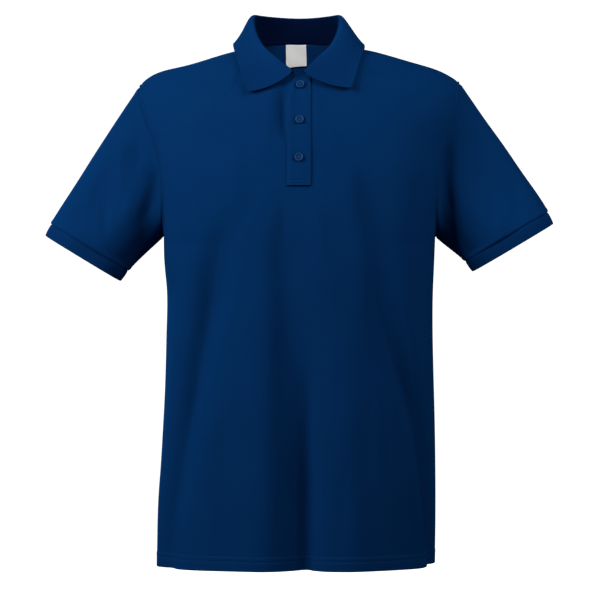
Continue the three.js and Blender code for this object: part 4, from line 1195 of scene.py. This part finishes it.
def top_relief(x, z):
    """The rows of stitches draw the band in, and its free edge lifts off the front."""
    out = -0.45 * bell(x - free_edge(z) - FREE_EDGE_STITCH_IN, 0.9)
    out = out - 0.5 * bell(x - PLACKET_LEFT + LEFT_STITCH_IN, 0.9)
    for row in BOX_STITCHES:
        out = out - 0.4 * bell(z - row, 0.9)
    for place_x, place_z in BUTTONHOLES:
        along = x - place_x
        slit = ease(along, 0, 1) * ease(along, BUTTONHOLE, BUTTONHOLE - 1)
        out = out - 0.9 * slit * bell(z - place_z, 0.55)
    for k in (1, 2, 3):
        low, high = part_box("button_%d" % k)
        away = np.hypot(x - (low.x + high.x) / 2 / MM, z - (low.z + high.z) / 2 / MM)
        out = out - BUTTON_DIMPLE["deep"] * bell((away / BUTTON_DIMPLE["wide"]) ** 2, 1)
    lift = ease(z, *EDGE_LIFT["low"]) * ease(z, *EDGE_LIFT["high"])
    out = out + EDGE_LIFT["out"] * lift * ease(x - free_edge(z), EDGE_LIFT["wide"], 0)
    return out + 0.12 * np.sin(z / 4.3 + 1.5 * np.sin(z / 19)) + 0.1 * np.sin(z / 11 + x / 6)


def band_piece(name, node, made_from, thick):
    """A placket band as a piece of cloth."""
    points, normals, x, z = made_from
    uv = np.stack([x, z], -1)
    made = shell(name, points, thick, normals, uv)
    made.data.materials.append(pique)
    stands_for(made, node)
    return made


top_band = band(free_edge, PLACKET_LEFT, PLACKET_BOTTOM, PLACKET_CLEAR, PLACKET_THICK, top_relief)
under_low = -FRONT_WALL - 2 * PLACKET_CLEAR - UNDER_THICK
under_band = band(
    lambda z: np.full_like(z, -UNDER_HALF_WIDTH),
    UNDER_HALF_WIDTH,
    PLACKET_BOTTOM + 2,
    under_low,
    UNDER_THICK,
    lambda x, z: 0.1 * np.sin(z / 7),
)
placket_top = band_piece("placket_top_band", "placket_top", top_band, PLACKET_THICK * 0.8)
placket_under = band_piece("placket_under_band", "placket_under", under_band, UNDER_THICK * 0.8)

# Buttons: three turned navy discs with a raised rim, sewn on with four passes of thread through
# their four holes. They sit on the top band, the first just under the collar.
BUTTON_THICK = 2.4
BUTTON_HOLE_RADIUS = 0.75
BUTTON_HOLES_OUT = 1.7
DISH_DARK = (0.0012, 0.014, 0.058, 1)
DISH_LIGHT = (0.0018, 0.020, 0.075, 1)
# Painted highlight: the lighter navy given to the button's rim.
RIM_HIGHLIGHT = (0.006, 0.060, 0.200, 1)
BUTTON_PROFILE = [
    (0, 0),
    (4.9, 0),
    (5.4, 0.25),
    (5.68, 0.8),
    (5.7, 1.5),
    (5.55, 2.1),
    (5.2, 2.38),
    (4.8, 2.42),
    (4.4, 2.28),
    (4.0, 1.85),
    (3.5, 1.62),
    (2.5, 1.55),
    (0, 1.55),
]


def button_finish():
    """Cast navy plastic with a faint swirl; the rim's lighter colour is a painted highlight."""
    made, nodes = finish("navy button")
    swirl = noise(nodes, 260.0, 3.0)
    # Painted highlight: the rim mark turns the colour to the lighter rim navy.
    rim = nodes.add("ShaderNodeAttribute", {"attribute_name": "rim"}, out="Fac")
    colour = mix_colour(nodes, rim, mix_colour(nodes, swirl, DISH_DARK, DISH_LIGHT), RIM_HIGHLIGHT)
    gloss = swirl * 0.15 + 0.4
    coat(nodes, {"Base Color": colour, "Roughness": gloss, "Specular IOR Level": 0.12})
    return made


def turned(profile, sides):
    """A closed turned solid from its profile, which starts and ends on the axis."""
    angle = np.arange(sides) * 2 * np.pi / sides
    rings = [vec(r * np.cos(angle), r * np.sin(angle), h) for r, h in profile[1:-1]]
    points = np.concatenate([[[0, 0, profile[0][1]]], *rings, [[0, 0, profile[-1][1]]]])
    near = np.arange(sides)
    far = (near + 1) % sides
    last = len(points) - 1
    faces = [(0, 1 + f, 1 + n) for n, f in zip(near, far)]
    for k in range(len(rings) - 1):
        a, b = 1 + k * sides, 1 + (k + 1) * sides
        faces += [(a + n, a + f, b + f, b + n) for n, f in zip(near, far)]
    top = last - sides
    faces += [(last, top + n, top + f) for n, f in zip(near, far)]
    mesh = bpy.data.meshes.new("turned")
    mesh.from_pydata((points * MM).tolist(), [], [[int(i) for i in face] for face in faces])
    return mesh


def thread_holes():
    """Where the thread holes are, from the button's middle."""
    angles = (np.arange(4) + 0.5) * np.pi / 2
    return BUTTON_HOLES_OUT * np.stack([np.cos(angles), np.sin(angles)], -1)


def drilled_button():
    """The disc with its four thread holes cut through, as a mesh."""
    disc = linked("disc", turned(BUTTON_PROFILE, 72))
    for x, y in thread_holes():
        profile = [(0, -2), (BUTTON_HOLE_RADIUS, -2), (BUTTON_HOLE_RADIUS, 4), (0, 4)]
        drill = linked("drill", turned(profile, 16))
        drill.data.transform(Matrix.Translation((x * MM, y * MM, 0)))
        cut = disc.modifiers.new("hole", "BOOLEAN")
        cut.operation = "DIFFERENCE"
        cut.object = drill
        drilled = evaluated_mesh(disc)
        disc.modifiers.remove(cut)
        disc.data = drilled
        bpy.data.objects.remove(drill)
    bpy.data.objects.remove(disc)
    # The rim mark places the painted highlight, a ring from 3.9 to 5.7 mm out from the middle.
    rim = drilled.attributes.new("rim", "FLOAT", "POINT")
    for spot, kept in zip(drilled.vertices, rim.data):
        out = math.hypot(spot.co.x, spot.co.y) / MM
        kept.value = ease(out, 3.9, 4.5) * ease(out, 5.7, 5.3)
    return drilled


navy_button = button_finish()
button_mesh = drilled_button()
button_places = []
for k in (1, 2, 3):
    low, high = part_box("button_%d" % k)
    middle = (low + high) / 2
    normal = front_panel.at(middle.x / MM, middle.z / MM)[1]
    seat = np.array(middle) / MM - normal * BUTTON_THICK / 2
    turn = Vector((0, 0, 1)).rotation_difference(Vector(normal)).to_matrix().to_4x4()
    place = Matrix.Translation(Vector(seat) * MM) @ turn @ Matrix.Rotation(0.12 * k, 4, "Z")
    button_places.append(place)
    made = linked("button_disc_%d" % k, button_mesh.copy())
    made.data.transform(place)
    made.data.materials.clear()
    made.data.materials.append(navy_button)
    made.data.shade_smooth()
    made.data.set_sharp_from_angle(angle=math.radians(38))
    stands_for(made, "button_%d" % k)

THREAD_BAR = [(0, -1.75), (0.2, -1.7), (0.34, -1.4), (0.34, 1.4), (0.2, 1.7), (0, 1.75)]
THREAD_BARS = [(-0.92, 1.68), (-1.48, 1.68), (-1.2, 2.0), (0.92, 1.68), (1.48, 1.68), (1.2, 2.0)]
button_threads = []
for place in button_places:
    for across_button, height in THREAD_BARS:
        bar = turned(THREAD_BAR, 10)
        lying = Matrix.Rotation(math.pi / 2, 4, "Y")
        bar.transform(place @ Matrix.Translation((0, across_button * MM, height * MM)) @ lying)
        button_threads.append(bar)

# Label: a small white woven tape, left bare, its top edge caught in the back neck seam. It
# hangs a little askew inside the back.
LABEL_X = -5
LABEL_HALF_WIDTH = 14.5
LABEL_TOP = 7.5
LABEL_BOTTOM = -21.7
LABEL_TILT = 1.6
LABEL_CLEAR = 3.1
LABEL_THICK = 0.6
TAPE_DARK = (0.84, 0.83, 0.82, 1)
TAPE_LIGHT = (0.93, 0.925, 0.915, 1)


def tape_relief(nodes, x, y):
    """The fine ribs of a woven tape."""
    return (x * (2 * math.pi / (0.5 * MM))).cosine() * (y * (2 * math.pi / (0.35 * MM))).cosine()


white_tape = knit_finish("white woven tape", TAPE_DARK, TAPE_LIGHT, tape_relief, 0.05, 0.05)
label_share, label_up = np.meshgrid(np.linspace(-1, 1, 33), np.linspace(0, 1, 41))
label_z = lerp(LABEL_BOTTOM + LABEL_TILT * label_share, LABEL_TOP, label_up)
label_x = LABEL_X + LABEL_HALF_WIDTH * label_share + 0.6 * (1 - label_up)
points, normals = back_panel.at(label_x, label_z)
curl = 0.8 * (1 - label_up) ** 2 * label_share**2 + 0.25 * np.sin(label_up * 7 + label_share * 2)
points = points - normals * (LABEL_CLEAR + curl)[..., None]
uv = np.stack([label_x, label_z], -1)
label_tape = shell("label_tape", points, LABEL_THICK, -grid_normals(points, normals), uv)
label_tape.data.materials.append(white_tape)
stands_for(label_tape, "label")

# Sewing: navy thread in rows of short stitches. A twin needle sews the hem in two rows; one row
# runs inside each armhole seam, along the placket and round the foot of its box.
STITCH_PITCH = 2.9
STITCH_LENGTH = 2.3
THREAD = 0.42
THREAD_DARK = (0.0050, 0.064, 0.230, 1)
THREAD_LIGHT = (0.0075, 0.085, 0.290, 1)


def stitch_tree():
    """Lays stitches end to end along every line of a mesh."""
    tree, nodes, wires = new_tree("stitches", ["Pitch", "Length", "Thread"])
    lines, pitch, length, thread, yarn = wires
    path = nodes.add("GeometryNodeMeshToCurve", None, {"Mesh": lines})
    row = nodes.add(
        "GeometryNodeResampleCurve", {"mode": "LENGTH"}, {"Curve": path, "Length": pitch}
    )
    run = nodes.add("GeometryNodeInputTangent")
    turn = nodes.add("FunctionNodeAlignRotationToVector", {"axis": "X"}, {"Vector": run})
    bead = nodes.add("GeometryNodeMeshUVSphere", None, {"Segments": 6, "Rings": 5, "Radius": 0.5})
    size = nodes.add("ShaderNodeCombineXYZ", None, {0: length, 1: thread, 2: thread})
    laid = nodes.add(
        "GeometryNodeInstanceOnPoints",
        None,
        {"Points": row, "Instance": bead, "Rotation": turn, "Scale": size},
    )
    end_tree(nodes, laid, yarn)
    return tree


def thread_finish():
    """Twisted navy thread, a little lighter than the cloth."""
    made, nodes = finish("navy thread")
    ply = noise(nodes, 1500.0)
    bump = nodes.add("ShaderNodeBump", None, {"Height": ply, "Distance": 0.1 * MM})
    coat(
        nodes,
        {
            "Base Color": mix_colour(nodes, ply, THREAD_DARK, THREAD_LIGHT),
            "Roughness": 0.7 + 0.2 * ply,
            "Normal": bump,
            "Specular IOR Level": 0.08,
        },
    )
    return made


stitches = stitch_tree()
navy_thread = thread_finish()


def on_grid(points, normals, rows, columns, lift):
    """Points at fractional rows and columns of a grid, lifted off it."""
    j = np.clip(np.floor(rows).astype(int), 0, points.shape[0] - 2)
    i = np.clip(np.floor(columns).astype(int), 0, points.shape[1] - 2)
    b, a = (rows - j)[:, None], (columns - i)[:, None]

    def blend(grid):
        near = grid[j, i] * (1 - a) + grid[j, i + 1] * a
        return near * (1 - b) + (grid[j + 1, i] * (1 - a) + grid[j + 1, i + 1] * a) * b

    return blend(points) + unit(blend(normals)) * lift


def sew(name, lines, pitch=STITCH_PITCH, length=STITCH_LENGTH, thread=THREAD):
    """Rows of stitches along lines of points, as one piece."""
    mesh = bpy.data.meshes.new(name)
    starts = np.cumsum([0] + [len(line) for line in lines])
    edges = [(k, k + 1) for s, e in zip(starts, starts[1:]) for k in range(s, e - 1)]
    mesh.from_pydata((np.concatenate(lines) * MM).tolist(), edges, [])
    made = linked(name, mesh)
    grow(
        made, stitches, Pitch=pitch * MM, Length=length * MM, Thread=thread * MM, Yarn=navy_thread
    )
    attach(made, "root")
    return made


def line_at(points, normals, values, wanted, lift):
    """The line on a grid where the values along each of its rows reach the wanted one."""
    rows = np.arange(len(points), dtype=float)
    every = np.arange(points.shape[1], dtype=float)
    wanted = np.broadcast_to(wanted, rows.shape)
    columns = np.array([np.interp(w, row, every) for w, row in zip(wanted, values)])
    return on_grid(points, normals, rows, columns, lift)


def turned_grid(*grids):
    """The grids with their rows as columns."""
    return [grid.swapaxes(0, 1) for grid in grids]


STITCH_LIFT = 0.2
hem_lines = []
armhole_lines = []
for points, normals in ((front_points, front_normals), (back_points, back_normals)):
    height = np.broadcast_to((body_v / hem_v(1))[:, None], points.shape[:2])
    for row in HEM_STITCHES:
        line = line_at(*turned_grid(points, normals, height), row, STITCH_LIFT)
        hem_lines.append(line[3:-3])
    above = np.searchsorted(body_v, ARMPIT_V) + 1
    from_left = lengths(points, 1)[above:]
    for wanted in (ARMHOLE_STITCH_IN, from_left[:, -1] - ARMHOLE_STITCH_IN):
        line = line_at(points[above:], normals[above:], from_left, wanted, STITCH_LIFT)
        armhole_lines.append(line)
sew("hem_stitches", hem_lines)
sew("armhole_stitches", armhole_lines)

band_points, band_normals, band_x, band_z = top_band
placket_lines = [
    line_at(band_points, band_normals, band_x, wanted, STITCH_LIFT)[3:]
    for wanted in (free_edge(band_z[:, 0]) + FREE_EDGE_STITCH_IN, PLACKET_LEFT - LEFT_STITCH_IN)
]
for row in BOX_STITCHES:
    line = line_at(*turned_grid(band_points, band_normals, band_z), row, STITCH_LIFT)
    placket_lines.append(line[5:-5])
sew("placket_stitches", placket_lines)

BUTTONHOLE_ROWS = [-1.35, -0.85, 0.85, 1.35]
buttonhole_lines = []
for place_x, place_z in BUTTONHOLES:
    for off in BUTTONHOLE_ROWS:
        line = line_at(*turned_grid(band_points, band_normals, band_z), place_z + off, 0.05)
        inside_hole = (line[:, 0] > place_x) & (line[:, 0] < place_x + BUTTONHOLE)
        buttonhole_lines.append(line[inside_hole])
sew("buttonhole_stitches", buttonhole_lines, pitch=0.6, length=0.55, thread=0.5)

joined = [linked("bar", mesh) for mesh in button_threads]
with bpy.context.temp_override(active_object=joined[0], selected_editable_objects=joined):
    bpy.ops.object.join()
button_thread = joined[0]
button_thread.name = "button_threads"
button_thread.data.materials.append(navy_thread)
button_thread.data.shade_smooth()
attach(button_thread, "root")

# Floor and backdrop, lights and camera: a plain white floor that curves up all round into a wall,
# soft lights on the left, the right and behind, and a camera level with the shirt's middle.
CAMERA_Z = -0.349
CAMERA_AWAY = 4.0
FRAME_WIDTH = 0.825
SENSOR = 36
FLOOR_Z = -0.95
WALL_AWAY = 8.0
WALL_CURVE = 1.5
WALL_HIGH = 6.0


def round_backdrop():
    """The floor and the wall round it, as one surface turned about the middle, facing inwards."""
    curve = np.linspace(0, np.pi / 2, 12)
    far = WALL_AWAY - WALL_CURVE
    profile = [(far + WALL_CURVE * np.sin(a), WALL_CURVE * (1 - np.cos(a))) for a in curve]
    profile.append((WALL_AWAY, WALL_HIGH))
    sides = 64
    angle = np.arange(sides) * 2 * np.pi / sides
    rings = [vec(r * np.cos(angle), r * np.sin(angle), FLOOR_Z + z) for r, z in profile]
    points = np.concatenate([[[0, 0, FLOOR_Z]], *rings])
    faces = [(0, 1 + k, 1 + (k + 1) % sides) for k in range(sides)]
    for row in range(len(rings) - 1):
        low, high = 1 + row * sides, 1 + (row + 1) * sides
        for k in range(sides):
            after = (k + 1) % sides
            faces.append((low + k, high + k, high + after, low + after))
    mesh = bpy.data.meshes.new("backdrop")
    mesh.from_pydata(points.tolist(), [], faces)
    mesh.shade_smooth()
    return linked("backdrop", mesh)


WHITE = (1, 1, 1, 1)
PAPER_DARK = (0.9, 0.9, 0.9, 1)
PAPER_LIGHT = (0.94, 0.94, 0.94, 1)
paper, nodes = finish("white backdrop")
colour = mix_colour(nodes, noise(nodes, 3.0), PAPER_DARK, PAPER_LIGHT)
glow = {"Emission Color": WHITE, "Emission Strength": 1.0}
coat(nodes, {"Base Color": colour, "Roughness": 0.9, **glow})
backdrop = round_backdrop()
backdrop.data.materials.append(paper)
backdrop.visible_diffuse = False
backdrop.visible_glossy = False


LIGHTS_MIDDLE = Vector((0, 0, -0.15))


def aim(lamp, towards):
    """Turns a light to a place."""
    lamp.rotation_euler = (Vector(towards) - lamp.location).to_track_quat("-Z", "Y").to_euler()


def soft_light(name, place, size, power):
    """A square soft box that is turned to the shirt's middle."""
    light = bpy.data.lights.new(name, "AREA")
    light.shape = "SQUARE"
    light.size = size
    light.energy = power
    made = linked(name, light)
    made.location = place
    aim(made, LIGHTS_MIDDLE)
    made.visible_camera = False


soft_light("main light", (-1.48, -0.98, 0.5), 0.9, 36.5)
soft_light("right light", (1.1, -0.9, 0.72), 0.9, 16)
soft_light("back light", (-1.0, 1.75, 0.75), 0.7, 46)
snoot = bpy.data.lights.new("neck light", "SPOT")
snoot.energy = 130
snoot.spot_size = math.radians(4.4)
snoot.spot_blend = 1
snoot.shadow_soft_size = 0.05
neck_light = linked("neck light", snoot)
neck_light.location = (0.02, -1.4, 0.75)
aim(neck_light, (-0.003, 0.06, -0.015))
world = bpy.data.worlds.new("studio")
bpy.context.scene.world = world
world.use_nodes = True
sky = world.node_tree.nodes["Background"]
sky.inputs["Color"].default_value = WHITE
sky.inputs["Strength"].default_value = 0.1

bpy.context.scene.view_settings.view_transform = "Standard"

lens = bpy.data.cameras.new("camera")
lens.sensor_width = SENSOR
lens.lens = SENSOR * CAMERA_AWAY / FRAME_WIDTH
camera = linked("camera", lens)
camera.location = (0.0007, -CAMERA_AWAY, CAMERA_Z)
camera.rotation_euler = (math.pi / 2, 0, 0)
bpy.context.scene.camera = camera
